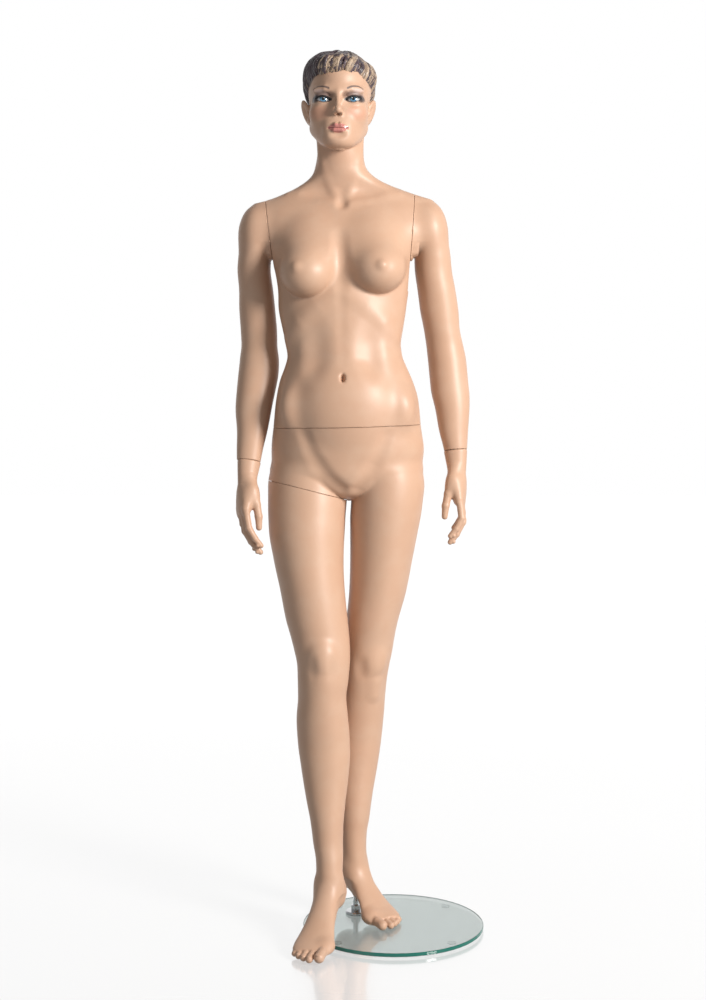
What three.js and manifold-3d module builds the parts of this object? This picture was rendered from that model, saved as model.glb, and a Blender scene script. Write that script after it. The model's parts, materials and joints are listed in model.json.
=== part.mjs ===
// Full-body display mannequin: hollow mouldings joined by spigots at the waist, thigh, shoulders
// and wrists, standing on a round glass base by a rod that enters the left foot.
// Millimetres, +Z up. The figure faces -Y, so its right side is at -X.

import * as THREE from 'three';
import { mergeVertices } from 'three/addons/utils/BufferGeometryUtils.js';
import Module from 'manifold-3d';

const wasm = await Module();
wasm.setup();

// ---------------------------------------------------------------- driving dimensions

const GAP = 0.3; // clearance between neighbouring pieces, and each half of an open seam
const WALL = 4; // thickness of the moulded shell
const PLATE_RECESS = 3; // how far each closing plate sits below its rim

const PAD_HEIGHT = 3;
const GLASS = { radius: 190, thickness: 8, x: 85, y: 0 };
const ROD = { x: 6, y: 60, radius: 5.5, top: 178 };
const FLANGE = { radius: 22.5, thickness: 5, hubRadius: 10, hubTop: 30 };
const GLASS_TOP = PAD_HEIGHT + GLASS.thickness;

// Seams: a point on the cutting plane and its normal, from the piece that carries to the piece carried.
const SEAMS = {
  waist: { at: [-12, 20, 1058], normal: [-0.0232, 0, 1] },
  thigh: { at: [-98, 22, 925], normal: [-0.25, -0.08, -1] },
  rightShoulder: { at: [-174, 50, 1467], normal: [-0.992, 0, -0.126] },
  leftShoulder: { at: [123, 50, 1477], normal: [0.997, 0, -0.071] },
  rightWrist: { at: [-215, 6.5, 986], normal: [-0.1, -0.234, -0.966] },
  leftWrist: { at: [214, 39, 1007], normal: [0.071, -0.143, -0.987] },
};

// Turned fittings: radii of post, collar, socket and flange, post length, and the closing plates'
// thickness and greatest width.
const FITTINGS = {
  waist: { post: 9, collar: 13, socket: 17, flange: 34, length: 34, plate: 8, span: 360 },
  thigh: { post: 8, collar: 12, socket: 15.5, flange: 28, length: 30, plate: 8, span: 200 },
  shoulder: { post: 6, collar: 9.5, socket: 12.5, flange: 20, length: 22, plate: 6, span: 130 },
  wrist: { post: 2.6, collar: 4.6, socket: 6.6, flange: 10, length: 12, plate: 4, span: 80 },
};

// Cross-sections of the figure, from the bottom up:
// height, centre x, centre y, half width, depth in front of the centre, depth behind it.
const TORSO = [
  [909, -10, 30, 22, 20, 26],
  [914, -10, 30, 50, 42, 56],
  [924, -10, 32, 92, 66, 88],
  [940, -11, 34, 132, 84, 108],
  [966, -13, 32, 160, 94, 120],
  [1008, -11, 26, 158.5, 98, 121],
  [1056, -12, 20, 153, 99, 113],
  [1112, -12, 15, 147, 95, 101],
  [1153, -14, 12, 136.5, 89, 92],
  [1180, -15, 12, 125.5, 84, 87],
  [1205, -17, 12, 118, 80, 83],
  [1225, -20, 14, 118.5, 80, 82],
  [1256, -21, 18, 124, 82, 82],
  [1298, -22, 24, 131.5, 86, 84],
  [1339, -20, 29, 134.5, 89, 85],
  [1380, -21, 32, 140.5, 90, 85],
  [1411, -23, 35, 150, 88, 83],
  [1440, -21, 39, 172, 80, 78],
  [1464, -20, 42, 186, 72, 72],
  [1484, -20, 45, 192, 64, 66],
  [1505, -19, 47, 187, 55, 60],
  [1518, -14, 48, 172, 46, 54],
  [1529, -8, 48, 152, 40, 50],
  [1541, -10, 48, 122, 38, 48],
  [1554, -16, 46, 92, 40, 48],
  [1566, -20, 44, 71, 42, 48],
  [1578, -23, 42, 58, 44, 49],
  [1590, -26, 40, 52, 45, 50],
  [1613, -26, 35, 47, 46, 50],
  [1635, -27, 31, 45, 46, 50],
  [1662, -27, 27, 43, 44, 50],
];
const HEAD = [
  [1617, -27, -34, 13, 15, 26],
  [1624, -27, -24, 27, 38, 46],
  [1638, -27, -6, 44, 60, 62],
  [1656, -27, 8, 53, 76, 76],
  [1680, -27, 16, 58, 86, 88],
  [1705, -27, 19, 61, 90, 94],
  [1735, -27, 21, 64, 92, 96],
  [1762, -27, 22, 64, 88, 95],
  [1785, -27, 23, 57, 74, 85],
  [1802, -27, 24, 43, 54, 66],
  [1812, -27, 25, 24, 30, 38],
];
const HAIR = [
  [1688, -27, 74, 36, 30, 38],
  [1706, -27, 66, 58, 46, 52],
  [1724, -27, 50, 70, 58, 68],
  [1745, -27, 32, 74, 72, 86],
  [1769, -27, 24, 74.5, 86, 93],
  [1782, -27, 22, 71.5, 82, 90],
  [1794, -27, 22, 66, 72, 82],
  [1806, -29, 22, 53, 58, 68],
  [1816, -29, 22, 36, 40, 48],
  [1824, -28, 22, 14, 18, 22],
];
const RIGHT_LEG = [
  [104, -49, -52, 26, 30, 36],
  [126, -48, -48, 27.5, 31, 37],
  [156, -49, -42, 28, 33, 38],
  [196, -53, -34, 30.5, 35, 42],
  [236, -54, -30, 34.5, 38, 48],
  [277, -56, -25, 40.5, 41, 55],
  [318, -57, -21, 46.5, 44, 61],
  [359, -58, -19, 51.5, 47, 64],
  [391, -60, -18, 54, 49, 64],
  [424, -62, -20, 54.5, 51, 61],
  [461, -64, -23, 53, 53, 56],
  [497, -64, -27, 50, 54, 52],
  [534, -62, -29, 52.5, 56, 52],
  [566, -61, -28, 54.5, 57, 54],
  [597, -64, -24, 58, 59, 58],
  [627, -69, -18, 61, 62, 62],
  [658, -75, -14, 64, 66, 66],
  [719, -84, -6, 67, 73, 74],
  [780, -92, 3, 72.5, 79, 80],
  [842, -96, 12, 79, 84, 86],
  [872, -96, 17, 80.5, 85, 91],
  [903, -95, 22, 82, 85, 97],
  [934, -95, 27, 82, 84, 101],
  [966, -93, 30, 80, 82, 100],
  [1010, -86, 30, 66, 70, 84],
];
const LEFT_LEG = [
  [104, 4, 72, 27, 30, 36],
  [121, 3, 72, 29, 31, 37],
  [152, 1, 72, 27.5, 33, 38],
  [184, 0, 71, 29.5, 35, 41],
  [217, 2, 70, 33, 38, 47],
  [249, 3, 72, 36, 40, 53],
  [281, 4, 76, 40, 42, 58],
  [314, 6, 80, 44, 44, 61],
  [348, 8, 82, 47.5, 47, 62],
  [381, 10, 82, 50, 49, 61],
  [415, 12, 79, 51.5, 51, 58],
  [449, 16, 74, 50.5, 52, 55],
  [483, 19, 68, 49.5, 53, 52],
  [517, 22, 62, 49.5, 55, 52],
  [549, 26, 58, 50.5, 57, 54],
  [581, 31, 55, 52, 59, 57],
  [614, 35, 51, 53, 62, 61],
  [646, 40, 46, 54.5, 65, 65],
  [711, 52, 42, 60, 71, 73],
  [775, 59, 38, 65, 77, 79],
  [839, 65, 34, 71, 83, 86],
  [871, 68, 32, 74, 85, 91],
  [903, 71, 30, 75, 85, 97],
  [934, 72, 30, 77, 84, 100],
  [966, 68, 30, 78, 82, 100],
  [1010, 62, 30, 66, 70, 84],
];
const RIGHT_ARM = [
  [960, -219, 0, 22, 19, 19],
  [984, -216, 6, 24.5, 21, 21],
  [1008, -214, 12, 27, 24, 24],
  [1050, -209, 22, 32, 29, 29],
  [1091, -207, 34, 37.5, 34, 34],
  [1132, -202, 46, 40.5, 38, 37],
  [1163, -198, 56, 42, 40, 38],
  [1195, -196, 64, 41, 40, 38],
  [1226, -196, 67, 37.5, 38, 38],
  [1257, -197, 66, 38, 39, 40],
  [1299, -200, 63, 37.5, 40, 40],
  [1340, -202, 60, 35.5, 41, 41],
  [1382, -206, 57, 34.5, 42, 42],
  [1412, -203.5, 55, 34.5, 44, 43],
  [1440, -201, 53, 35, 44, 44],
  [1464, -200, 52, 33.5, 43, 43],
  [1490, -199, 51, 28, 38, 38],
  [1508, -196, 50, 22, 28, 28],
  [1518, -192, 50, 13, 16, 16],
];
const LEFT_ARM = [
  [982, 215, 36, 21, 21, 21],
  [1007, 214, 39, 24, 24, 24],
  [1049, 210, 45, 30.5, 29, 29],
  [1090, 208, 51, 35.5, 34, 34],
  [1132, 203, 58, 40, 38, 37],
  [1163, 200, 63, 40, 40, 38],
  [1195, 197, 67, 40, 40, 38],
  [1226, 192, 68, 38.5, 38, 38],
  [1257, 186, 66, 37.5, 39, 40],
  [1299, 180, 63, 40, 40, 40],
  [1340, 174, 60, 39.5, 41, 41],
  [1382, 167, 58, 38.5, 42, 42],
  [1412, 165, 56, 37.5, 44, 43],
  [1440, 162, 53, 36, 44, 44],
  [1464, 160, 52, 34, 43, 43],
  [1494, 158, 51, 27, 38, 38],
  [1512, 154, 50, 22, 28, 28],
  [1524, 150, 50, 13, 16, 16],
];

// Raised foot, from behind the heel to the toes:
// distance ahead of the heel, centre height above the toes' level, half width, half height.
const FOOT = [
  [-26, 84, 9, 13],
  [-16, 82, 20, 25],
  [0, 82, 26, 31],
  [25, 84, 27, 34],
  [48, 70, 28, 32],
  [72, 51, 31, 27],
  [95, 34, 36, 22],
  [115, 23, 40, 19],
  [132, 16, 40, 14],
  [146, 12, 34, 9],
];
const TOES = { start: 134, radius: [10, 7.5, 7, 6.5, 6], across: [-29, -12, 3, 17, 30], end: [168, 170, 165, 158, 149] };

// Hand in its own directions: ahead along the fingers, towards the thumb, towards the palm.
const PALM = [
  [0, 21, 23],
  [25, 19.5, 21],
  [50, 19.5, 18],
  [66, 25, 18],
  [84, 31, 16],
  [106, 32.5, 12],
];
const FINGERS = [
  { across: 24, start: 104, lengths: [50, 25, 19], radius: 7.4 },
  { across: 8.2, start: 108, lengths: [54, 28, 21], radius: 7.6 },
  { across: -7.8, start: 106, lengths: [51, 26, 20], radius: 7.3 },
  { across: -23, start: 99, lengths: [42, 20, 17], radius: 6.5 },
];
const THUMB = { points: [[50, 15, 6], [90, 23, 20], [136, 22, 31]], radius: 8.4 };

// Each hand: where the thumb side faces, and the fingers' bends towards the palm in radians, one for each bone.
const HANDS = {
  right: { thumbwards: [0.3, -0.95, 0], bends: [0.3, 0.66, 0.85] },
  left: { thumbwards: [-0.14, -0.99, 0], bends: [-0.04, 0.55, 0.75] },
};

// ---------------------------------------------------------------- materials

const skin = (name) => material(name, 0xdcb295, 0.45, 0);
const wood = () => material('board', 0xb9976b, 0.85, 0);
const steel = () => material('steel', 0xa9abad, 0.35, 1);
const chrome = () => material('chrome', 0xd9dcdd, 0.12, 1);
const rubber = () => material('rubber', 0x3a3a3a, 0.9, 0);

function material(name, color, roughness, metalness) {
  return new THREE.MeshStandardMaterial({ name, color, roughness, metalness });
}

// ---------------------------------------------------------------- solids

function solid(geometry) {
  const bare = geometry.index ? geometry.clone() : geometry;
  bare.deleteAttribute('normal');
  bare.deleteAttribute('uv');
  const merged = mergeVertices(bare, 1e-4);
  return new wasm.Manifold(new wasm.Mesh({
    numProp: 3,
    vertProperties: new Float32Array(merged.attributes.position.array),
    triVerts: new Uint32Array(merged.index.array),
  }));
}

function largest(shape) {
  const bodies = shape.decompose();
  return bodies.sort((a, b) => b.volume() - a.volume())[0];
}

function meshOf(name, shape, look) {
  const data = largest(shape).getMesh();
  const geometry = new THREE.BufferGeometry();
  geometry.setAttribute('position', new THREE.BufferAttribute(new Float32Array(data.vertProperties), 3));
  geometry.setIndex(new THREE.BufferAttribute(new Uint32Array(data.triVerts), 1));
  geometry.computeVertexNormals();
  const mesh = new THREE.Mesh(geometry, look);
  mesh.name = name;
  return mesh;
}

function union(shapes) {
  return shapes.reduce((all, next) => all.add(next));
}

// Skins a list of rings with equal point counts and closes both ends with a fan.
function loft(rings) {
  const count = rings[0].length;
  const positions = rings.flat().flatMap((p) => [p.x, p.y, p.z]);
  const index = [];
  for (let r = 0; r + 1 < rings.length; r += 1) {
    for (let i = 0; i < count; i += 1) {
      const a = r * count + i;
      const b = r * count + ((i + 1) % count);
      index.push(a, b, b + count, a, b + count, a + count);
    }
  }
  [0, rings.length - 1].forEach((r) => {
    const centre = rings[r].reduce((sum, p) => sum.add(p), new THREE.Vector3()).divideScalar(count);
    const hub = positions.length / 3;
    positions.push(centre.x, centre.y, centre.z);
    for (let i = 0; i < count; i += 1) {
      const a = r * count + i;
      const b = r * count + ((i + 1) % count);
      index.push(...(r === 0 ? [hub, b, a] : [hub, a, b]));
    }
  });
  const geometry = new THREE.BufferGeometry();
  geometry.setAttribute('position', new THREE.Float32BufferAttribute(positions, 3));
  geometry.setIndex(index);
  return solid(geometry);
}

// A stack of level oval sections, each drawn in by inset on every side.
function bodyLoft(sections, segments, inset = 0) {
  return loft(sections.map(([z, x, y, halfWidth, front, back]) => turns(segments).map((a) => {
    const depth = Math.sin(a) < 0 ? front : back;
    return new THREE.Vector3(
      x + (halfWidth - inset) * Math.cos(a),
      y + (depth - inset) * Math.sin(a),
      z,
    );
  })));
}

function turns(segments) {
  return Array.from({ length: segments }, (_, i) => (2 * Math.PI * i) / segments);
}

function ellipsoid(centre, radii, segments = 14) {
  const geometry = new THREE.SphereGeometry(1, segments, segments / 2 + 2);
  geometry.scale(...radii);
  geometry.translate(...centre);
  return solid(geometry);
}

// A bent, tapering finger or toe: rings square to its run, the last one small to round the tip.
function digit(path, radii, across, sides = 7) {
  return loft(path.map((place, i) => {
    const run = path[Math.min(i + 1, path.length - 1)].clone().sub(path[Math.max(i - 1, 0)]).normalize();
    const side = across.clone().addScaledVector(run, -across.dot(run)).normalize();
    const rise = run.clone().cross(side);
    return turns(sides).map((a) => place.clone()
      .addScaledVector(side, radii[i] * Math.cos(a))
      .addScaledVector(rise, radii[i] * Math.sin(a)));
  }));
}

// Pose of a seam: the plane's point as origin, its normal as +Z.
function seamPose({ at, normal }) {
  const turn = new THREE.Quaternion().setFromUnitVectors(
    new THREE.Vector3(0, 0, 1),
    new THREE.Vector3(...normal).normalize(),
  );
  return new THREE.Matrix4().compose(new THREE.Vector3(...at), turn, new THREE.Vector3(1, 1, 1));
}

// Block across a seam, from one distance along the normal to another.
function slab(seam, from, to, width = 400) {
  const geometry = new THREE.BoxGeometry(width, width, to - from);
  geometry.translate(0, 0, (from + to) / 2);
  geometry.applyMatrix4(seamPose(seam));
  return solid(geometry);
}

function seamCylinder(seam, radius, from, to) {
  const geometry = new THREE.CylinderGeometry(radius, radius, to - from, 12);
  geometry.rotateX(Math.PI / 2);
  geometry.translate(0, 0, (from + to) / 2);
  geometry.applyMatrix4(seamPose(seam));
  return solid(geometry);
}

function zCylinder(x, y, radius, from, to, segments = 16) {
  const geometry = new THREE.CylinderGeometry(radius, radius, to - from, segments);
  geometry.rotateX(Math.PI / 2);
  geometry.translate(x, y, (from + to) / 2);
  return solid(geometry);
}

function block(low, high) {
  const size = high.map((value, i) => value - low[i]);
  const geometry = new THREE.BoxGeometry(...size);
  geometry.translate(...high.map((value, i) => (value + low[i]) / 2));
  return solid(geometry);
}

function turned(profile, segments = 12) {
  const geometry = new THREE.LatheGeometry(profile.map(([r, z]) => new THREE.Vector2(r, z)), segments);
  geometry.rotateX(Math.PI / 2);
  return solid(geometry);
}

// ---------------------------------------------------------------- feet and hands

function foot(heel, floor, direction, inner, stretch) {
  const ahead = new THREE.Vector3(...direction, 0).normalize();
  const up = new THREE.Vector3(0, 0, 1);
  const across = up.clone().cross(ahead);
  const point = (distance, side, height) => new THREE.Vector3(heel[0], heel[1], floor + height)
    .addScaledVector(ahead, distance * stretch)
    .addScaledVector(across, side);
  const sole = loft(FOOT.map(([distance, height, halfWidth, halfHeight]) => turns(12).map((a) => (
    point(distance, halfWidth * Math.cos(a), height + halfHeight * Math.sin(a))
  ))));
  const toes = TOES.radius.map((radius, i) => {
    const [side, end] = [TOES.across[i] * inner, TOES.end[i]];
    return digit(
      [
        point(TOES.start - 6, side * 0.9, radius + 4),
        point(end - radius * 1.8, side, radius + 1),
        point(end - radius * 0.5, side, radius),
        point(end, side, radius),
      ],
      [radius * 0.9, radius, radius * 0.9, radius * 0.45],
      across,
    );
  });
  return union([sole, ...toes]);
}

function hand(seam, { thumbwards, bends }, gap) {
  const ahead = new THREE.Vector3(...seam.normal).normalize();
  const thumbSide = new THREE.Vector3(...thumbwards);
  thumbSide.addScaledVector(ahead, -thumbSide.dot(ahead)).normalize();
  const palmSide = ahead.clone().cross(thumbSide);
  if (palmSide.x * seam.at[0] > 0) palmSide.negate();
  const flip = Math.sign(thumbSide.clone().cross(palmSide).dot(ahead));
  const point = (distance, side, depth) => new THREE.Vector3(...seam.at)
    .addScaledVector(ahead, distance)
    .addScaledVector(thumbSide, side)
    .addScaledVector(palmSide, depth);
  const palm = loft(PALM.map(([distance, halfWidth, halfDepth]) => turns(12).map((a) => (
    point(distance + gap, halfWidth * Math.cos(a), flip * halfDepth * Math.sin(a))
  ))));
  const fingers = FINGERS.map(({ across, start, lengths, radius }) => {
    let [distance, depth] = [start - 10, 0];
    const path = [point(distance, across, depth)];
    lengths.forEach((length, i) => {
      distance += length * Math.cos(bends[i]);
      depth += length * Math.sin(bends[i]);
      path.push(point(distance, across, depth));
    });
    const tip = path.at(-1);
    path.splice(-1, 0, path.at(-2).clone().lerp(tip, 0.7));
    return digit(path, [1, 0.96, 0.88, 0.8, 0.42].map((part) => part * radius), thumbSide);
  });
  const joints = THUMB.points.map((place) => point(...place));
  joints.splice(-1, 0, joints.at(-2).clone().lerp(joints.at(-1), 0.75));
  const thumb = digit(joints, [1.1, 1, 0.85, 0.45].map((part) => part * THUMB.radius), palmSide);
  return union([palm, ...fingers, thumb]);
}

// ---------------------------------------------------------------- the figure's mouldings

function headSolid() {
  const centre = HEAD[4][1];
  const nose = ellipsoid([centre, -72, 1688], [9, 19, 14], 8);
  const ears = [-1, 1].map((side) => ellipsoid([centre + side * 60, 24, 1698], [7, 15, 25], 8));
  return union([bodyLoft(HEAD, 16), bodyLoft(HAIR, 16), nose, ...ears]);
}

function upperBody() {
  const breasts = [-68, 68].map((side) => ellipsoid([side - 36, -42, 1378], [57, 66, 58], 12));
  return union([bodyLoft(TORSO, 20), headSolid(), ...breasts]);
}

function upperCavity(inset) {
  const head = HEAD.slice(2, -1);
  return union([bodyLoft(TORSO, 12, inset), bodyLoft(head, 10, inset + 2)]);
}

function shoulderRegion(seam, from) {
  return slab(seam, from, 130, 260);
}

const outerUpper = upperBody();
const outerRightArm = bodyLoft(RIGHT_ARM, 14);
const outerLeftArm = bodyLoft(LEFT_ARM, 14);
const outerTorso = union([outerUpper, outerRightArm, outerLeftArm]);

function armSolid(armLoft, shoulder, wrist, everything) {
  const besideTorso = everything.intersect(shoulderRegion(shoulder, GAP));
  const hanging = armLoft.intersect(slab(shoulder, GAP, 400, 1600));
  return besideTorso.add(hanging).subtract(slab(wrist, -GAP, 200));
}

function armShell(shape, sections, shoulder, wrist) {
  const core = (inset) => bodyLoft(sections.slice(0, -1), 10, inset);
  const cavity = (inset) => upperCavity(inset).intersect(slab(shoulder, -20, 60, 300)).add(core(inset));
  return { shell: armSolid(shape, shoulder, wrist, outerTorso).subtract(cavity(WALL)), cavity };
}

const waistUp = block([-400, -400, 1080], [400, 400, 1900]).add(slab(SEAMS.waist, GAP, 60, 900));
function torsoShell() {
  return outerTorso
    .intersect(waistUp)
    .subtract(slab(SEAMS.rightShoulder, -GAP, 300, 330))
    .subtract(slab(SEAMS.leftShoulder, -GAP, 300, 330))
    .subtract(union([
      upperCavity(WALL),
      bodyLoft(RIGHT_ARM.slice(11, -1), 10, WALL),
      bodyLoft(LEFT_ARM.slice(11, -1), 10, WALL),
    ]));
}

// Crotch side of the thigh seam: the plane cuts the pelvis only on the right leg's side of this x.
const CROTCH_X = -11;
const pelvis = bodyLoft(TORSO.slice(0, 12), 20);
const outerRightLeg = bodyLoft(RIGHT_LEG, 16);

function thighRegion(from) {
  return slab(SEAMS.thigh, from, 200).intersect(block([-400, -400, 700], [CROTCH_X - from, 400, 1100]));
}

function lowerCavity(inset) {
  const hollowFrom = 4;
  return union([
    bodyLoft(TORSO.slice(2, 12), 12, inset),
    bodyLoft(RIGHT_LEG.slice(hollowFrom), 10, inset),
    bodyLoft(LEFT_LEG.slice(hollowFrom), 10, inset),
  ]);
}

const leftFoot = foot([-12, 93], GLASS_TOP + 0.4, [0.6, -0.8], 1, 1);
const rightFoot = foot([-43, -30], 3, [-0.27, -0.963], -1, 1.2);

function lowerShell() {
  return union([pelvis, outerRightLeg.subtract(slab(SEAMS.thigh, -GAP, 1200, 1400))])
    .subtract(thighRegion(-GAP))
    .add(bodyLoft(LEFT_LEG, 16))
    .subtract(slab(SEAMS.waist, -GAP, 400, 900))
    .add(leftFoot)
    .subtract(lowerCavity(WALL))
    .subtract(zCylinder(ROD.x, ROD.y, FOOT_TUBE.radius + GAP, 0, FOOT_TUBE.top + GAP))
    .subtract(heelScrew(FOOT_SCREW.radius + GAP, 80));
}

function rightLegShell() {
  return outerRightLeg
    .intersect(slab(SEAMS.thigh, GAP, 1200, 1400))
    .add(pelvis.intersect(thighRegion(GAP)))
    .add(rightFoot)
    .subtract(lowerCavity(WALL));
}

// ---------------------------------------------------------------- closing plates

// A board glued inside a moulding's open end: the cavity's section, cut between two distances.
function plate(cavity, seam, width, from, to, hole) {
  return cavity.intersect(slab(seam, from, to, width)).subtract(seamCylinder(seam, hole, from - 5, to + 5));
}

// Both plates of a seam: the carrying side is pierced for its screw, the carried side for the socket.
function platePair(names, seam, fitting, below, above) {
  const near = plate(below, seam, fitting.span, -PLATE_RECESS - fitting.plate, -PLATE_RECESS, 3);
  const pair = [meshOf(names[0], near, wood())];
  if (above) {
    const far = plate(above, seam, fitting.span, PLATE_RECESS, PLATE_RECESS + fitting.plate, fitting.socket + GAP + 0.1);
    pair.push(meshOf(names[1], far, wood()));
  }
  return pair;
}

// ---------------------------------------------------------------- turned fittings

// Bore that turns freely round a faceted post of this radius.
function running(radius) {
  return radius * 1.036 + 0.14;
}

function spigotProfile({ post, collar, flange, length }) {
  return [
    [0, -2.7], [flange, -2.7], [flange, -0.9], [post, -0.9],
    [post, length], [collar - 0.6, length], [collar - 0.6, length + 2.5], [0, length + 2.5],
  ];
}

function collarProfile({ post, collar, length }) {
  const bore = running(post);
  return [[bore, -0.5], [collar, -0.5], [collar, length - GAP], [bore, length - GAP], [bore, -0.5]];
}

function socketProfile({ collar, socket, flange, length, plate: thickness }, seat) {
  const bore = running(collar);
  const end = length + 5;
  const base = seat === 'behind' ? PLATE_RECESS + thickness + GAP : 0.8;
  const profile = [[bore, 0.8], [socket, 0.8]];
  if (seat === 'behind') profile.push([socket, base]);
  else profile.pop();
  profile.push([flange, base], [flange, base + 1.8], [socket, base + 1.8], [socket, end]);
  profile.push([bore, end], [bore, 0.8]);
  return profile;
}

function fittingGroup(label, side, seam, fitting, seat, withCollar = true) {
  const group = new THREE.Group();
  seamPose(seam).decompose(group.position, group.quaternion, group.scale);
  const suffix = side ? `_${side}` : '';
  group.add(meshOf(`${label}_spigot${suffix}`, turned(spigotProfile(fitting)), steel()));
  if (withCollar) group.add(meshOf(`${label}_collar${suffix}`, turned(collarProfile(fitting)), steel()));
  group.add(meshOf(`${label}_socket${suffix}`, turned(socketProfile(fitting, seat)), steel()));
  return group;
}

// ---------------------------------------------------------------- base

const FOOT_TUBE = { radius: 8.5, bottom: 64, top: 184 };
const FOOT_SCREW = { radius: 2.5, height: 92, length: 34 };
const PAD = { radius: 9, circle: 165 };
const BOLT = { radius: 3.6, headRadius: 6.5, top: 30 };

function heelScrew(radius, length = FOOT_SCREW.length) {
  const geometry = new THREE.CylinderGeometry(radius, radius, length, 12);
  geometry.translate(ROD.x, ROD.y + ROD.radius + 0.6 + length / 2, FOOT_SCREW.height);
  return solid(geometry);
}

function glassDisc() {
  const { radius, thickness, x, y } = GLASS;
  const bevel = 1.2;
  const disc = turned([
    [0, PAD_HEIGHT], [radius - bevel, PAD_HEIGHT], [radius, PAD_HEIGHT + bevel],
    [radius, PAD_HEIGHT + thickness - bevel], [radius - bevel, GLASS_TOP], [0, GLASS_TOP],
  ], 56);
  return disc.translate([x, y, 0]).subtract(zCylinder(ROD.x, ROD.y, 4.4, 0, 20));
}

function flange() {
  const bottom = GLASS_TOP + 1.6;
  const shoulder = bottom + FLANGE.thickness;
  const bore = ROD.radius + GAP;
  const { radius, hubRadius, hubTop } = FLANGE;
  return turned([
    [BOLT.radius + 0.8, bottom], [radius, bottom], [radius, bottom + 3], [radius - 2, shoulder],
    [hubRadius, shoulder], [hubRadius, hubTop - 1], [hubRadius - 1, hubTop], [bore, hubTop],
    [bore, bottom + 2.4], [BOLT.radius + 0.8, bottom + 2.4], [BOLT.radius + 0.8, bottom],
  ], 20).subtract(flangeScrew(2.5 + GAP, 12));
}

function flangeScrew(radius, length) {
  const geometry = new THREE.CylinderGeometry(radius, radius, length, 12);
  geometry.translate(0, -(ROD.radius + 0.5 + length / 2), FLANGE.hubTop - 9);
  return solid(geometry);
}

function rodSolid() {
  const bottom = GLASS_TOP + 4.4;
  const bore = BOLT.radius + GAP;
  return turned([
    [bore, bottom], [ROD.radius, bottom], [ROD.radius, ROD.top - 1.5], [ROD.radius - 1.5, ROD.top],
    [0, ROD.top], [0, BOLT.top + 1], [bore, BOLT.top + 1], [bore, bottom],
  ], 16);
}

function boltSolid() {
  const { radius, headRadius, top } = BOLT;
  return turned([[0, 0.5], [headRadius - 1, 0.5], [headRadius, 1.3], [headRadius, 1.9], [radius, 1.9], [radius, top], [0, top]]);
}

function footTube() {
  const bore = ROD.radius + GAP;
  const { radius, bottom, top } = FOOT_TUBE;
  return turned([
    [bore, bottom], [radius, bottom], [radius, top], [0, top],
    [0, ROD.top + 2], [bore, ROD.top + 2], [bore, bottom],
  ], 16).subtract(heelScrew(FOOT_SCREW.radius + GAP).translate([-ROD.x, -ROD.y, 0]));
}

function ringPiece(inner, outer, from, to, segments = 16) {
  return turned([[inner, from], [outer, from], [outer, to], [inner, to], [inner, from]], segments);
}

function baseGroup() {
  const group = new THREE.Group();
  const glass = material('glass', 0xc4cdc9, 0.05, 0);
  group.add(meshOf('glass_base', glassDisc(), glass));
  for (let i = 0; i < 4; i += 1) {
    const angle = Math.PI / 4 + (i * Math.PI) / 2;
    const pad = meshOf(`base_pad_${i + 1}`, zCylinder(0, 0, PAD.radius, 0, PAD_HEIGHT - GAP, 14), rubber());
    pad.position.set(GLASS.x + PAD.circle * Math.cos(angle), GLASS.y + PAD.circle * Math.sin(angle), 0);
    group.add(pad);
  }
  const column = new THREE.Group();
  column.position.set(ROD.x, ROD.y, 0);
  column.add(meshOf('base_flange', flange(), chrome()));
  column.add(meshOf('flange_gasket', ringPiece(5, FLANGE.radius - 0.5, GLASS_TOP + GAP, GLASS_TOP + 1.3, 16), rubber()));
  column.add(meshOf('flange_set_screw', flangeScrew(2.5, 4.5), steel()));
  column.add(meshOf('base_rod', rodSolid(), chrome()));
  column.add(meshOf('base_bolt', boltSolid(), steel()));
  column.add(meshOf('base_washer', ringPiece(4, 9, 2.1, PAD_HEIGHT - GAP), steel()));
  group.add(column);
  return group;
}

function footFittings() {
  const tube = meshOf('foot_tube', footTube(), steel());
  tube.position.set(ROD.x, ROD.y, 0);
  return [tube, meshOf('foot_set_screw', heelScrew(FOOT_SCREW.radius), steel())];
}

// ---------------------------------------------------------------- assembly

const figure = new THREE.Group();

const rightArm = armShell(outerRightArm, RIGHT_ARM, SEAMS.rightShoulder, SEAMS.rightWrist);
const leftArm = armShell(outerLeftArm, LEFT_ARM, SEAMS.leftShoulder, SEAMS.leftWrist);
const PLATE_INSET = WALL + 0.4;

function handWithBore(seam, pose) {
  const { socket, flange: rim, length } = FITTINGS.wrist;
  return hand(seam, pose, GAP)
    .subtract(seamCylinder(seam, socket + GAP, -2, length + 6))
    .subtract(seamCylinder(seam, rim + GAP, -2, 3));
}

figure.add(meshOf('upper_torso_shell', torsoShell(), skin('skin')));
figure.add(meshOf('lower_body_shell', lowerShell(), skin('skin')));
figure.add(meshOf('right_leg_shell', rightLegShell(), skin('skin')));
figure.add(meshOf('right_arm_shell', rightArm.shell, skin('skin')));
figure.add(meshOf('left_arm_shell', leftArm.shell, skin('skin')));
figure.add(meshOf('right_hand', handWithBore(SEAMS.rightWrist, HANDS.right), skin('skin')));
figure.add(meshOf('left_hand', handWithBore(SEAMS.leftWrist, HANDS.left), skin('skin')));

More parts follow.
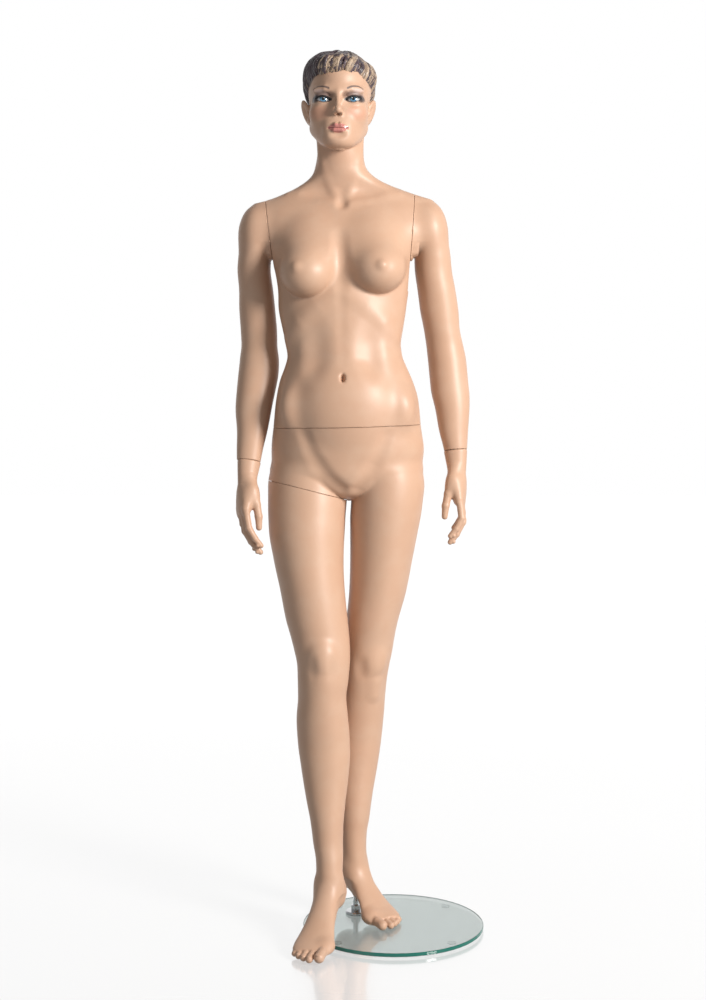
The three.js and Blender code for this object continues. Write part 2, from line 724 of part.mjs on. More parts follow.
figure.add(...platePair(
  ['pelvis_waist_plate', 'torso_waist_plate'],
  SEAMS.waist, FITTINGS.waist, lowerCavity(PLATE_INSET), upperCavity(PLATE_INSET),
));
figure.add(...platePair(
  ['pelvis_thigh_plate', 'leg_thigh_plate'],
  SEAMS.thigh, FITTINGS.thigh,
  bodyLoft(RIGHT_LEG, 10, PLATE_INSET + 1), bodyLoft(RIGHT_LEG, 10, PLATE_INSET + 1),
));
[['right', rightArm], ['left', leftArm]].forEach(([side, arm]) => {
  const shoulder = SEAMS[`${side}Shoulder`];
  const wrist = SEAMS[`${side}Wrist`];
  const hollow = arm.cavity(PLATE_INSET);
  figure.add(...platePair(
    [`torso_shoulder_plate_${side}`, `arm_shoulder_plate_${side}`],
    shoulder, FITTINGS.shoulder, hollow, hollow,
  ));
  figure.add(...platePair([`wrist_plate_${side}`], wrist, FITTINGS.wrist, hollow));
  figure.add(fittingGroup('shoulder', side, shoulder, FITTINGS.shoulder, 'behind'));
  figure.add(fittingGroup('wrist', side, wrist, FITTINGS.wrist, 'front'));
});
figure.add(fittingGroup('waist', '', SEAMS.waist, FITTINGS.waist, 'behind'));
figure.add(fittingGroup('thigh', '', SEAMS.thigh, FITTINGS.thigh, 'behind', false));
figure.add(baseGroup(), ...footFittings());

// The model's origin is the middle of its footprint, on the surface that it stands on.
figure.updateMatrixWorld(true);
const extent = new THREE.Box3().setFromObject(figure);
const middle = extent.getCenter(new THREE.Vector3());
figure.position.set(-middle.x, -middle.y, -extent.min.z);

export default figure;
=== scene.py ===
"""Full-body display mannequin on a glass base: fine surfaces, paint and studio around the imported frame."""
import json
import math

import bmesh
import bpy
import numpy as np
from mathutils import Matrix, Vector


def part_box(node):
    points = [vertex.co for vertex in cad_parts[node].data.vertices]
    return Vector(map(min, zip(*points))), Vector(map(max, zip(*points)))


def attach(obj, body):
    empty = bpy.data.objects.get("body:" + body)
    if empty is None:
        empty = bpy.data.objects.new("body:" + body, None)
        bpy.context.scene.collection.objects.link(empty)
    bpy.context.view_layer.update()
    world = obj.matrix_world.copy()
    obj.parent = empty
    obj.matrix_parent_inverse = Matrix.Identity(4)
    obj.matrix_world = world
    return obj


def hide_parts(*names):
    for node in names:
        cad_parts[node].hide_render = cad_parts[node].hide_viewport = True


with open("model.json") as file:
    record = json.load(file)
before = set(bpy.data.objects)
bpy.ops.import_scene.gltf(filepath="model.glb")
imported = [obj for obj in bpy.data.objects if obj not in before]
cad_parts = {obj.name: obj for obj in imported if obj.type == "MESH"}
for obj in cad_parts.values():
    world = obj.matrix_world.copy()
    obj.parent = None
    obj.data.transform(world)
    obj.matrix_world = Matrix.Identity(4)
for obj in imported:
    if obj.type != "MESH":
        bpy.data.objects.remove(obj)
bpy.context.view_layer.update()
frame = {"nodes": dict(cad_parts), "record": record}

# ------------------------------------------------------------------ places from the frame

# Figure coordinates are millimetres with the glass disc's centre at this x and y, as in the design.
DISC_X, DISC_Y = 85.0, 0.0
DISC_LOW, DISC_HIGH = (np.array(corner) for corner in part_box("glass_base"))
DISC_CENTRE = (DISC_LOW + DISC_HIGH) / 2
SHIFT = np.array([DISC_CENTRE[0] - DISC_X / 1000, DISC_CENTRE[1] - DISC_Y / 1000, 0.0])
GLASS_TOP = DISC_HIGH[2] * 1000
JOINTS = {joint["name"]: joint for joint in frame["record"]["behaviour"]["joints"]}


def seam(name, outward=1.0):
    """A seam's point and unit normal in figure millimetres, from the joint that turns in it."""
    joint = JOINTS[name]
    point = (np.array(joint["pos_m"]) - SHIFT) * 1000
    return point, outward * np.array(joint["axis"])


SEAMS = {
    "waist": seam("waist_turn"),
    "thigh": seam("leg_twist"),
    "shoulder_right": seam("arm_turn_right"),
    "shoulder_left": seam("arm_turn_left", -1.0),
    "wrist_right": seam("hand_turn_right"),
    "wrist_left": seam("hand_turn_left"),
}
SEAM_GAP = 0.35  # half of each open joint line
SIDES = ("right", "left")
HIPS_TOP = 1100  # height above the waist seam at which the hips' own shape ends
RIGHT_THIGH_FROM = 880  # height above which the hips are shaped together with the right thigh
ARM_TOPS_FROM = 1345  # height above which the torso is shaped together with the arms

# ------------------------------------------------------------------ the figure's sections
# Level oval sections, from the bottom up: height, centre x, centre y, half width, depth ahead, depth behind.

TORSO = [
    [905, -10, 28, 14, 14, 18], [912, -10, 28, 34, 32, 44], [924, -10, 30, 78, 60, 86],
    [940, -11, 32, 122, 82, 106], [966, -13, 31, 154, 96, 120], [1008, -11, 26, 158.5, 101, 122],
    [1056, -12, 20, 153, 100, 113], [1112, -12, 15, 147, 96, 101], [1153, -14, 12, 136.5, 90, 92],
    [1180, -15, 12, 125.5, 85, 87], [1205, -17, 12, 118, 81, 83], [1225, -20, 14, 118.5, 80, 82],
    [1256, -21, 18, 124, 82, 82], [1298, -22, 24, 131.5, 85, 84], [1339, -20, 29, 135, 88, 85],
    [1380, -21, 32, 141, 90, 85], [1411, -23, 35, 150, 90, 83], [1440, -21, 39, 168, 84, 78],
    [1464, -20, 42, 182, 75, 72], [1484, -20, 45, 190, 66, 66], [1505, -19, 47, 187, 56, 60],
    [1518, -14, 48, 173, 47, 54], [1529, -8, 48, 153, 41, 50], [1541, -10, 48, 122, 38, 48],
    [1554, -16, 46, 92, 39, 48], [1566, -20, 44, 71, 41, 48], [1578, -23, 42, 58.5, 43, 49],
    [1590, -26, 40, 52, 44, 50], [1613, -26, 35, 47.5, 45, 50], [1635, -27, 31, 45, 45, 50],
    [1662, -27, 27, 43, 42, 50],
]
RIGHT_LEG = [
    [100, -49, -52, 25, 29, 33], [126, -49, -50, 27, 31, 37], [156, -49, -43, 28, 33, 39],
    [196, -53, -34, 30.5, 35, 43], [236, -54, -30, 34.5, 38, 49], [277, -56, -25, 40.5, 41, 55],
    [318, -57, -21, 46.5, 44, 61], [359, -58, -19, 51.5, 47, 64], [391, -60, -18, 54, 49, 64],
    [424, -62, -20, 54.5, 51, 61], [461, -64, -23, 53, 53, 56], [497, -64, -27, 50, 54, 52],
    [534, -62, -29, 52.5, 56, 52], [566, -61, -28, 54.5, 57, 54], [597, -64, -24, 58, 59, 58],
    [627, -69, -18, 61, 62, 62], [658, -75, -14, 64, 66, 66], [719, -84, -6, 67, 73, 74],
    [780, -92, 3, 72.5, 79, 80], [842, -96, 12, 79, 84, 86], [872, -96, 17, 80.5, 85, 91],
    [903, -95, 22, 82, 85, 97], [934, -95, 27, 82, 84, 101], [966, -93, 30, 79, 82, 100],
    [1000, -84, 32, 50, 56, 70], [1040, -78, 34, 20, 30, 36],
]
LEFT_LEG = [
    [100, 4, 72, 25, 29, 33], [121, 3, 72, 27, 31, 37], [152, 1, 72, 27.5, 33, 39],
    [184, 0, 71, 29.5, 35, 42], [217, 2, 70, 33, 38, 47], [249, 3, 72, 36, 40, 53],
    [281, 4, 76, 40, 42, 58], [314, 6, 80, 44, 44, 61], [348, 8, 82, 47.5, 47, 62],
    [381, 10, 82, 50, 49, 61], [415, 12, 79, 51.5, 51, 58], [449, 16, 74, 50.5, 52, 55],
    [483, 19, 68, 49.5, 53, 52], [517, 22, 62, 49.5, 55, 52], [549, 26, 58, 50.5, 57, 54],
    [581, 31, 55, 52, 59, 57], [614, 35, 51, 53, 62, 61], [646, 40, 46, 54.5, 65, 65],
    [711, 52, 42, 60, 71, 73], [775, 59, 38, 65, 77, 79], [839, 65, 34, 71, 83, 86],
    [871, 68, 32, 74, 85, 91], [903, 71, 30, 75, 85, 97], [934, 72, 30, 77, 84, 100],
    [966, 68, 30, 77, 82, 100], [1000, 60, 32, 50, 56, 70], [1040, 54, 34, 20, 30, 36],
]
RIGHT_ARM = [
    [960, -219, 0, 22, 19, 19], [984, -216, 6, 24.5, 21, 21], [1008, -214, 12, 27, 24, 24],
    [1050, -209, 22, 32, 29, 29], [1091, -207, 34, 37.5, 34, 34], [1132, -202, 46, 40.5, 38, 37],
    [1163, -198, 56, 42, 40, 38], [1195, -196, 64, 41, 40, 38], [1226, -196, 67, 37.5, 38, 38],
    [1257, -197, 66, 38, 39, 40], [1299, -200, 63, 37.5, 40, 40], [1340, -202, 60, 35.5, 41, 41],
    [1382, -206, 57, 34.5, 42, 42], [1412, -203.5, 55, 34.5, 44, 43], [1440, -201, 53, 35, 44, 44],
    [1464, -200, 52, 33.5, 43, 43], [1488, -198, 51, 26, 35, 35], [1503, -195, 50, 16, 22, 22],
    [1510, -192, 50, 6, 8, 8],
]
LEFT_ARM = [
    [982, 215, 36, 21, 21, 21], [1007, 214, 39, 24, 24, 24], [1049, 210, 45, 30.5, 29, 29],
    [1090, 208, 51, 35.5, 34, 34], [1132, 203, 58, 40, 38, 37], [1163, 200, 63, 40, 40, 38],
    [1195, 197, 67, 40, 40, 38], [1226, 192, 68, 38.5, 38, 38], [1257, 186, 66, 37.5, 39, 40],
    [1299, 180, 63, 40, 40, 40], [1340, 174, 60, 39.5, 41, 41], [1382, 167, 58, 38.5, 42, 42],
    [1412, 165, 56, 37.5, 44, 43], [1440, 162, 53, 36, 44, 44], [1464, 160, 52, 34, 43, 43],
    [1493, 157, 51, 26, 35, 35], [1509, 153, 50, 16, 22, 22], [1517, 149, 50, 6, 8, 8],
]
SKULL = [
    [1616, -28, -44, 9, 12, 16], [1621, -28, -38, 22, 30, 36], [1630, -28, -24, 33, 47, 50],
    [1641, -28, -12, 41, 59, 60], [1653, -28, -2, 47.5, 69, 68], [1666, -28, 6, 52, 77, 76],
    [1681, -28, 13, 56, 84, 84], [1700, -28, 18, 59.5, 89, 91], [1718, -28, 20, 61.5, 91, 94],
    [1738, -27, 21, 64, 93, 94], [1758, -27, 21, 64.5, 92, 92], [1778, -27, 21, 60, 84, 87],
    [1795, -27, 21, 50, 68, 76], [1808, -27, 21, 34, 46, 56], [1815, -27, 21, 16, 22, 30],
]
HAIR_CAP = [
    [1676, -27, 92, 30, 20, 20], [1692, -27, 82, 44, 28, 30], [1706, -27, 70, 55, 36, 43],
    [1724, -27, 54, 65, 46, 60], [1745, -28, 38, 71, 62, 77], [1766, -28, 26, 72, 82, 88],
    [1782, -29, 22, 68, 81, 87], [1794, -32, 22, 60, 70, 79], [1806, -34, 22, 49, 54, 66],
    [1815, -32, 22, 36, 38, 46], [1821, -29, 22, 16, 18, 22],
]

# Raised foot, from behind the heel forwards: distance ahead of the heel, centre height above the
# toes' level, half width, half height.
FOOT = [
    [-24, 86, 9, 12], [-14, 83, 20, 25], [0, 82, 25.5, 31], [22, 84, 26.5, 34], [44, 72, 26.5, 32],
    [66, 54, 28.5, 27], [88, 37, 33, 22], [107, 24.5, 38, 18], [121, 18, 40, 15], [134, 14, 38.5, 12.5],
    [146, 11, 32, 9],
]
TOE_RADII = [10.5, 7.4, 7.0, 6.6, 6.2]
TOE_SIDES = [-29, -10, 4, 17, 29]
TOE_ENDS = [171, 172, 166, 158, 148]
FEET = {
    "right": {"heel": (-43, -30), "floor": 3.0, "ahead": (-0.27, -0.963), "inner": -1, "stretch": 1.2},
    "left": {"heel": (-12, 93), "floor": GLASS_TOP + 0.4, "ahead": (0.6, -0.8), "inner": 1, "stretch": 1.0},
}

# Hand along its own directions: distance from the wrist seam, towards the thumb, towards the palm.
PALM = [
    [-3, 21, 25], [25, 19.5, 21.5], [50, 19.5, 18], [66, 25, 18.5], [84, 30, 17], [100, 32, 14.5], [116, 30.5, 10.5],
]
FINGERS = [
    {"side": 24, "start": 104, "bones": (40, 25, 19), "radius": 7.4},
    {"side": 8.2, "start": 108, "bones": (44, 28, 21), "radius": 7.6},
    {"side": -7.8, "start": 106, "bones": (41, 26, 20), "radius": 7.3},
    {"side": -23, "start": 99, "bones": (32, 20, 17), "radius": 6.5},
]
HANDS = {
    "right": {"seam": "wrist_right", "thumb": (0.3, -0.95, 0.0), "bends": (0.3, 0.66, 0.85)},
    "left": {"seam": "wrist_left", "thumb": (-0.14, -0.99, 0.0), "bends": (-0.04, 0.55, 0.75)},
}
THUMB = [(38, 7, 3), (62, 17, 9), (92, 23, 20), (116, 24, 27), (138, 21, 31)]
THUMB_RADII = [14, 12.5, 8.6, 7.8, 6.2]

# ------------------------------------------------------------------ fields: negative inside, millimetres


def oval_distance(ratio, away, half, middle=0.02):
    """Distance to an oval for points `away` from its centre, which is `ratio` times the oval's own reach there."""
    return np.where(ratio > middle, away * (1 - 1 / np.maximum(ratio, middle)), -half)


class Sections:
    """A stack of level ovals, read at any height through a smooth curve without overshoot."""

    def __init__(self, rows, soften=5.0):
        rows = np.array(sorted(rows), float)
        z, values = rows[:, 0], rows[:, 1:]
        self.low, self.high = z[0], z[-1]
        step = np.diff(z)[:, None]
        slope = np.diff(values, axis=0) / step
        tangent = np.zeros_like(values)
        tangent[0], tangent[-1] = slope[0], slope[-1]
        product = slope[:-1] * slope[1:]
        total = slope[:-1] + slope[1:]
        tangent[1:-1] = np.where(product > 0, 2 * product / np.where(product > 0, total, 1), 0)
        self.z = np.arange(z[0], z[-1] + 0.5, 0.5)
        i = np.clip(np.searchsorted(z, self.z, side="right") - 1, 0, len(z) - 2)
        span = step[i]
        t = ((self.z - z[i])[:, None]) / span
        self.values = (
            (2 * t**3 - 3 * t**2 + 1) * values[i] + (t**3 - 2 * t**2 + t) * span * tangent[i]
            + (3 * t**2 - 2 * t**3) * values[i + 1] + (t**3 - t**2) * span * tangent[i + 1]
        )
        reach = np.arange(-30, 31)
        kernel = np.exp(-0.5 * (reach * 0.5 / soften) ** 2)
        kernel /= kernel.sum()
        padded = np.pad(self.values, ((30, 30), (0, 0)), mode="reflect", reflect_type="odd")
        self.values = np.stack([np.convolve(column, kernel, "valid") for column in padded.T], axis=1)

    def at(self, z):
        return [np.interp(z, self.z, column) for column in self.values.T]

    def field(self, p):
        cx, cy, width, ahead, behind = self.at(p[:, 2])
        x, y = p[:, 0] - cx, p[:, 1] - cy
        depth = np.where(y < 0, ahead, behind)
        away = np.sqrt(x * x + y * y)
        ratio = np.sqrt((x / width) ** 2 + (y / depth) ** 2)
        side = oval_distance(ratio, away, np.minimum(width, depth), 1e-4)
        return np.maximum(side, np.maximum(p[:, 2] - self.high, self.low - p[:, 2]))


def smooth_join(a, b, radius):
    h = np.clip(0.5 + 0.5 * (b - a) / radius, 0, 1)
    return b + (a - b) * h - radius * h * (1 - h)


def smooth_cut(a, b, radius):
    """Takes b away from a."""
    return -smooth_join(-a, b, radius)


def smooth_max(a, b, radius):
    return -smooth_join(-a, -b, radius)


def shaped(field, *steps):
    """Joins shapes to a field in turn, or cuts them away where the blend's radius is negative."""
    for blend, shape in steps:
        field = smooth_join(field, shape, blend) if np.min(blend) > 0 else smooth_cut(field, shape, -blend)
    return field


def ellipsoid(p, centre, radii, turn=None):
    q = p - np.array(centre, float)
    if turn is not None:
        q = q @ turn
    k1 = np.sqrt(((q / radii) ** 2).sum(axis=1))
    k2 = np.sqrt(((q / np.square(radii)) ** 2).sum(axis=1)) + 1e-9
    return k1 * (k1 - 1) / k2


def cone(p, a, b, radius_a, radius_b):
    """A round-ended taper from a to b."""
    a, b = np.array(a, float), np.array(b, float)
    run = b - a
    t = np.clip(((p - a) @ run) / (run @ run), 0, 1)
    return np.linalg.norm(p - a - t[:, None] * run, axis=1) - (radius_a + (radius_b - radius_a) * t)


def chain(p, points, radii, blend=2.0):
    parts = [cone(p, points[i], points[i + 1], radii[i], radii[i + 1]) for i in range(len(points) - 1)]
    field = parts[0]
    for part in parts[1:]:
        field = smooth_join(field, part, blend)
    return field


def turn_z(degrees):
    angle = math.radians(degrees)
    return np.array([[math.cos(angle), -math.sin(angle), 0], [math.sin(angle), math.cos(angle), 0], [0, 0, 1]])


def turn_x(degrees):
    angle = math.radians(degrees)
    return np.array([[1, 0, 0], [0, math.cos(angle), -math.sin(angle)], [0, math.sin(angle), math.cos(angle)]])


def on_surface(field, origins, directions, reach):
    """Where rays from inside meet the field's surface, by halving."""
    near, far = np.zeros(len(origins)), np.full(len(origins), float(reach))
    for _ in range(30):
        middle = (near + far) / 2
        inside = field(origins + middle[:, None] * directions) < 0
        near, far = np.where(inside, middle, near), np.where(inside, far, middle)
    return origins + near[:, None] * directions


def traced(field, points, sink, facing=-1):
    """Points at x and z on a field's front (facing -1) or back, sunk below it by some millimetres."""
    start = np.array([[x, 40.0, z] for x, z in points])
    hit = on_surface(field, start, np.array([[0.0, facing, 0.0]] * len(points)), 220)
    return hit - np.array([0.0, facing * sink, 0.0])


torso_sections = Sections(TORSO)
leg_sections = {"right": Sections(RIGHT_LEG), "left": Sections(LEFT_LEG)}
arm_sections = {"right": Sections(RIGHT_ARM), "left": Sections(LEFT_ARM)}
skull_sections = Sections(SKULL, 3.0)
hair_sections = Sections(HAIR_CAP, 3.0)
CORD_RADII = [6, 6, 6, 5]  # the neck's cords, thinner towards the notch


def mirrored_lines(points, sink):
    """A line traced on the torso's front, on the figure's right and left side: (middle x, distance from it, z)."""
    return [traced(torso_sections.field, [(x + side * away, z) for x, away, z in points], sink) for side in (-1, 1)]


def front_line(points, sink):
    return traced(torso_sections.field, points, sink)


COLLARBONES = mirrored_lines([(-22, 14, 1509), (-22, 48, 1516), (-21, 88, 1528), (-20, 112, 1530)], 9.0)
NECK_CORDS = mirrored_lines([(-26, 41, 1650), (-25, 33, 1595), (-24, 20, 1548), (-23, 10, 1518)], 12.0)
RIB_ARCHES = mirrored_lines([(-24, 14, 1324), (-22, 46, 1302), (-22, 80, 1270), (-22, 100, 1238)], 19.0)
MIDLINE = front_line([(-24, 1314), (-22.5, 1255), (-21, 1186)], -15.0)
STERNUM = front_line([(-27, 1450), (-25, 1390), (-24, 1338)], -13.0)
FLANKS = front_line([(-82, 1218), (42, 1218)], -39.0)
HOLLOWS = front_line([(-80, 1541), (36, 1543)], -20.0)
NAVEL = front_line([(-20.5, 1157)], 1.0)[0]
NOTCH = (COLLARBONES[0][0] + COLLARBONES[1][0]) / 2 + [0, -12, 8]  # between the collarbones' inner ends


def breasts(p, field):
    for centre, radii, peak, yaw in (
        ((50, -38, 1377), (56, 58, 50), (58, -92, 1383), 10),
        ((-93, -38, 1370), (55, 58, 51), (-112, -86, 1378), -14),
    ):
        slope = ellipsoid(p, (centre[0] * 0.9 - 3, centre[1] + 22, centre[2] + 52), (48, 32, 62), turn_x(-18))
        lobe = smooth_join(ellipsoid(p, centre, radii, turn_z(yaw)), slope, 42)
        under = np.interp(p[:, 2], [1336, 1362, 1400], [5.0, 16.0, 30.0])  # crisp below, soft above
        field = shaped(field, (under, lobe), (12, ellipsoid(p, peak, (7, 6, 6.5))))
    return field


def chest_and_back(p, field):
    for side, bone, cord, hollow in zip((-1, 1), COLLARBONES, NECK_CORDS, HOLLOWS):
        field = shaped(
            field,
            (15, chain(p, bone, [6.0, 6.5, 6.0, 5.0])),
            (-18, ellipsoid(p, hollow, (34, 20, 15))),
            (13, chain(p, cord, CORD_RADII)),
            (24, ellipsoid(p, (-20 + side * 76, 96, 1440), (42, 20, 62), turn_z(side * 14))),  # shoulder blade
        )
    spine = chain(p, [(-22, 128, 1480), (-20, 124, 1340), (-17, 106, 1215), (-13, 134, 1090)], [11, 12, 13, 10])
    return shaped(field, (-14, ellipsoid(p, NOTCH, (7.5, 8, 11))), (-20, chain(p, STERNUM, [6, 7, 7])), (-26, spine))


def belly(p, field):
    for side, arch, flank in zip((-1, 1), RIB_ARCHES, FLANKS):
        field = shaped(
            field,
            (26, chain(p, arch, [9, 9, 9, 8])),
            (-30, ellipsoid(p, flank, (26, 34, 62))),
            (34, ellipsoid(p, (-13 + side * 108, -34, 1096), (26, 20, 34), turn_z(side * -34))),  # hip bone
        )
    return shaped(
        field,
        (-15, chain(p, MIDLINE, [7, 7, 5])),
        (30, ellipsoid(p, (-14, -52, 1100), (80, 40, 76))),
        (-6, ellipsoid(p, NAVEL + [0, -6, 0], (4.2, 9, 8), turn_x(12))),
    )


def neck_to_waist(p):
    return belly(p, chest_and_back(p, breasts(p, torso_sections.field(p))))


def shoulder_blend(p):
    return np.interp(p[:, 2], [1388, 1404, 1436], [2.0, 10.0, 26.0])


def arm_shape(p, side):
    shoulder, elbow = ((-197, 50, 1458), (-188, 92, 1208)) if side == "right" else ((156, 50, 1466), (192, 92, 1208))
    field = arm_sections[side].field(p)
    return shaped(field, (18, ellipsoid(p, shoulder, (35, 46, 54))), (20, ellipsoid(p, elbow, (17, 18, 22))))


def torso_field(p):
    """Torso with the tops of both arms, so that the shoulder seams meet flush; the cuts take the arms off."""
    field = neck_to_waist(p)
    for side in SIDES:
        field = smooth_join(field, np.maximum(arm_shape(p, side), ARM_TOPS_FROM - p[:, 2]), shoulder_blend(p))
    return field


def foot_frame(side):
    data = FEET[side]
    ahead = np.array([*data["ahead"], 0.0])
    ahead /= np.linalg.norm(ahead)
    up = np.array([0.0, 0.0, 1.0])
    across = np.cross(up, ahead) * data["inner"]
    origin = np.array([*data["heel"], data["floor"]])
    return origin, ahead, across, up


def foot_point(side, distance, across_by, height):
    origin, ahead, across, up = foot_frame(side)
    return origin + distance * FEET[side]["stretch"] * ahead + across_by * across + height * up


def foot_field(p, side):
    origin, ahead, across, up = foot_frame(side)
    q = p - origin
    run, off, rise = q @ ahead / FEET[side]["stretch"], q @ across, q @ up
    table = np.array(FOOT, float)
    height, width, half = (np.interp(run, table[:, 0], table[:, i]) for i in (1, 2, 3))
    off = off + np.interp(run, [40, 100, 150], [0, 3, 2])
    flat = np.where(rise < height, 2.6, 2.0)
    ratio = (np.abs(off / width) ** flat + np.abs((rise - height) / half) ** flat + 1e-6) ** (1 / flat)
    away = np.sqrt(off**2 + (rise - height) ** 2)
    sole = np.maximum(oval_distance(ratio, away, half), np.maximum(run - table[-1, 0], table[0, 0] - run))
    field = shaped(
        sole,
        (16, ellipsoid(p, foot_point(side, 0, 0, 80), (25, 25, 30))),  # heel
        (-14, ellipsoid(p, foot_point(side, 66, -32, 14), (26, 26, 26))),  # arch
        (12, ellipsoid(p, foot_point(side, 119, -28, 17), (17, 17, 15))),  # ball
    )
    for radius, at, end in zip(TOE_RADII, TOE_SIDES, TOE_ENDS):
        root = foot_point(side, 120, at * 0.9, radius + 6)
        bend = foot_point(side, end - radius * 2.6, at, radius + 3.2)
        tip = foot_point(side, end - radius, at, radius + 0.3)
        toe = chain(p, [root, bend, tip], [radius * 0.95, radius * 0.92, radius])
        nail_centre = foot_point(side, end - radius * 0.75, at, radius * 1.72)
        nail = ellipsoid(p, nail_centre, (radius * 0.62, radius * 0.62, 1.6))
        field = shaped(field, (3.2, toe), (1.2, nail))
    return field


def leg_field(p, side):
    knee, dip_back = ((-62, -74, 588), 29) if side == "right" else ((42, 16, 568), 33)
    x, y, z = knee
    below_knee = cone(p, (x, y + 9, z - 46), (x - 2, y + 14, z - 74), 12, 10)
    tendon = cone(p, foot_point(side, -10, 0, 100), foot_point(side, -4, 0, 205), 9, 8)
    return shaped(
        leg_sections[side].field(p),
        (20, ellipsoid(p, knee, (21, 15, 27))),
        *[(-18, ellipsoid(p, (x + across, y - dip_back, z - 20), (9, 14, 24))) for across in (-27, 27)],
        (16, below_knee),
        *[(18, ellipsoid(p, foot_point(side, 22, inner * 19, 112 - inner * 3), (7, 8, 11))) for inner in (-1, 1)],
        (24, tendon),
        (np.where(p[:, 2] < 190, 24.0, 1.0), foot_field(p, side)),
    )


def seat(p, field):
    cheeks = [(26, ellipsoid(p, (-12 + side * 68, 84, 962), (70, 66, 78))) for side in (-1, 1)]
    cleft = chain(p, [(-12, 158, 1010), (-11, 160, 950), (-10, 128, 905)], [6, 9, 12])
    return shaped(field, *cheeks, (-14, cleft))


def hip_field(p):
    hips = seat(p, belly(p, torso_sections.field(p)))
    mound = ellipsoid(p, (-9, -12, 957), (62, 48, 46), turn_x(14))
    return np.maximum(smooth_join(hips, mound, 26), p[:, 2] - HIPS_TOP)


def groin(p, field):
    """The two folds between the thighs and the belly."""
    for fold in GROIN_FOLDS:
        field = smooth_cut(field, chain(p, fold, [7, 7, 6, 6, 5, 3]), 22)
    return field


def thigh_blend(p):
    return np.interp(p[:, 2], [905, 945, 1000], [2.5, 6.0, 30.0])


def lower_body(p):
    """Hips, left leg and the top of the right thigh in one surface, so that the thigh seam meets flush."""
    right_thigh = np.maximum(leg_field(p, "right"), RIGHT_THIGH_FROM - p[:, 2])
    field = smooth_join(hip_field(p), right_thigh, thigh_blend(p))
    return groin(p, smooth_join(field, leg_field(p, "left"), thigh_blend(p)))


def groin_fold(side, points):
    def thigh_and_hips(p):
        return smooth_join(hip_field(p), leg_sections[side].field(p), thigh_blend(p))

    return traced(thigh_and_hips, points, -10.5)


GROIN_FOLDS = [
    groin_fold("right", [(-24, 927), (-37, 937), (-55, 956), (-72, 980), (-88, 1006), (-101, 1038)]),
    groin_fold("left", [(12, 927), (20, 937), (31, 956), (45, 980), (59, 1006), (71, 1038)]),
]


def hand_axes(side):
    data = HANDS[side]
    origin, ahead = SEAMS[data["seam"]]
    ahead = ahead / np.linalg.norm(ahead)
    thumb = np.array(data["thumb"])
    thumb = thumb - (thumb @ ahead) * ahead
    thumb /= np.linalg.norm(thumb)
    palm = np.cross(ahead, thumb)
    return origin, ahead, thumb, -palm if palm[0] * origin[0] > 0 else palm


def hand_field(p, side):
    origin, ahead, thumbwards, palmwards = hand_axes(side)
    q = p - origin
    run, off, rise = q @ ahead, q @ thumbwards, q @ palmwards

    def place(distance, across, depth):
        return origin + distance * ahead + across * thumbwards + depth * palmwards

    table = np.array(PALM, float)
    width, half = (np.interp(run, table[:, 0], table[:, i]) for i in (1, 2))
    ratio = np.sqrt((off / width) ** 2 + (rise / half) ** 2)
    away = np.sqrt(off**2 + rise**2)
    field = smooth_max(oval_distance(ratio, away, half), np.maximum(run - table[-1, 0], table[0, 0] - run), 8)
    field = shaped(
        field,
        (14, ellipsoid(p, place(74, 20, 9), (15, 13, 24))),  # the thumb's pad
        (12, ellipsoid(p, place(76, -20, 8), (13, 11, 26))),  # the palm's heel
        (-12, ellipsoid(p, place(88, 0, 22), (17, 11, 24))),  # the palm's hollow
    )
    for finger in FINGERS:
        distance, depth = finger["start"] - 14, -2.5
        path = [place(distance, finger["side"] * 0.95, depth)]
        distance += 14
        path.append(place(distance, finger["side"], depth))
        for length, bend in zip(finger["bones"], HANDS[side]["bends"]):
            distance += length * math.cos(bend)
            depth += length * math.sin(bend)
            path.append(place(distance, finger["side"] * 0.96, depth))
        radius = finger["radius"]
        digit = chain(p, path, [radius * 0.8, radius, radius * 0.93, radius * 0.86, radius * 0.72], 2.5)
        bend = HANDS[side]["bends"][-1]
        back = place(distance - 5 * math.cos(bend) + 4.6 * math.sin(bend), finger["side"] * 0.96,
                     depth - 5 * math.sin(bend) - 4.6 * math.cos(bend))
        digit = smooth_join(digit, ellipsoid(p, back, (4.6, 4.6, 4.6)), 1.4)
        field = smooth_join(field, digit, 5.0)
    thumb = chain(p, [place(*point) for point in THUMB], THUMB_RADII, 3.0)
    return smooth_join(field, thumb, 6.0)


# ------------------------------------------------------------------ head

FACE_X = -29.5  # the face's middle line
EYE = {"half_gap": 30.2, "half_width": 16.0, "y": -52.0, "z": 1712.2, "radius": 15.5}
EYE_CENTRE = (EYE["half_gap"], EYE["y"] + 3.4, EYE["z"])


def mirrored(p):
    """Points folded onto one side of the face's middle line, which halves the work of paired features."""
    q = p.copy()
    q[:, 0] = np.abs(p[:, 0] - FACE_X)
    return q


def eye_opening(q):
    """The gap between the lids: below the upper lid's curve and above the lower one's."""
    across = (q[:, 0] - EYE["half_gap"]) / EYE["half_width"]
    bow = np.maximum(1 - across**2, 0)
    rise = q[:, 2] - EYE["z"] - 1.2 * across
    lens = np.maximum(rise - 4.9 * bow + 0.4, -5.0 * bow + 0.4 - rise)
    return np.where(np.abs(across) < 1, lens, np.abs(rise) + (np.abs(across) - 1) * EYE["half_width"])


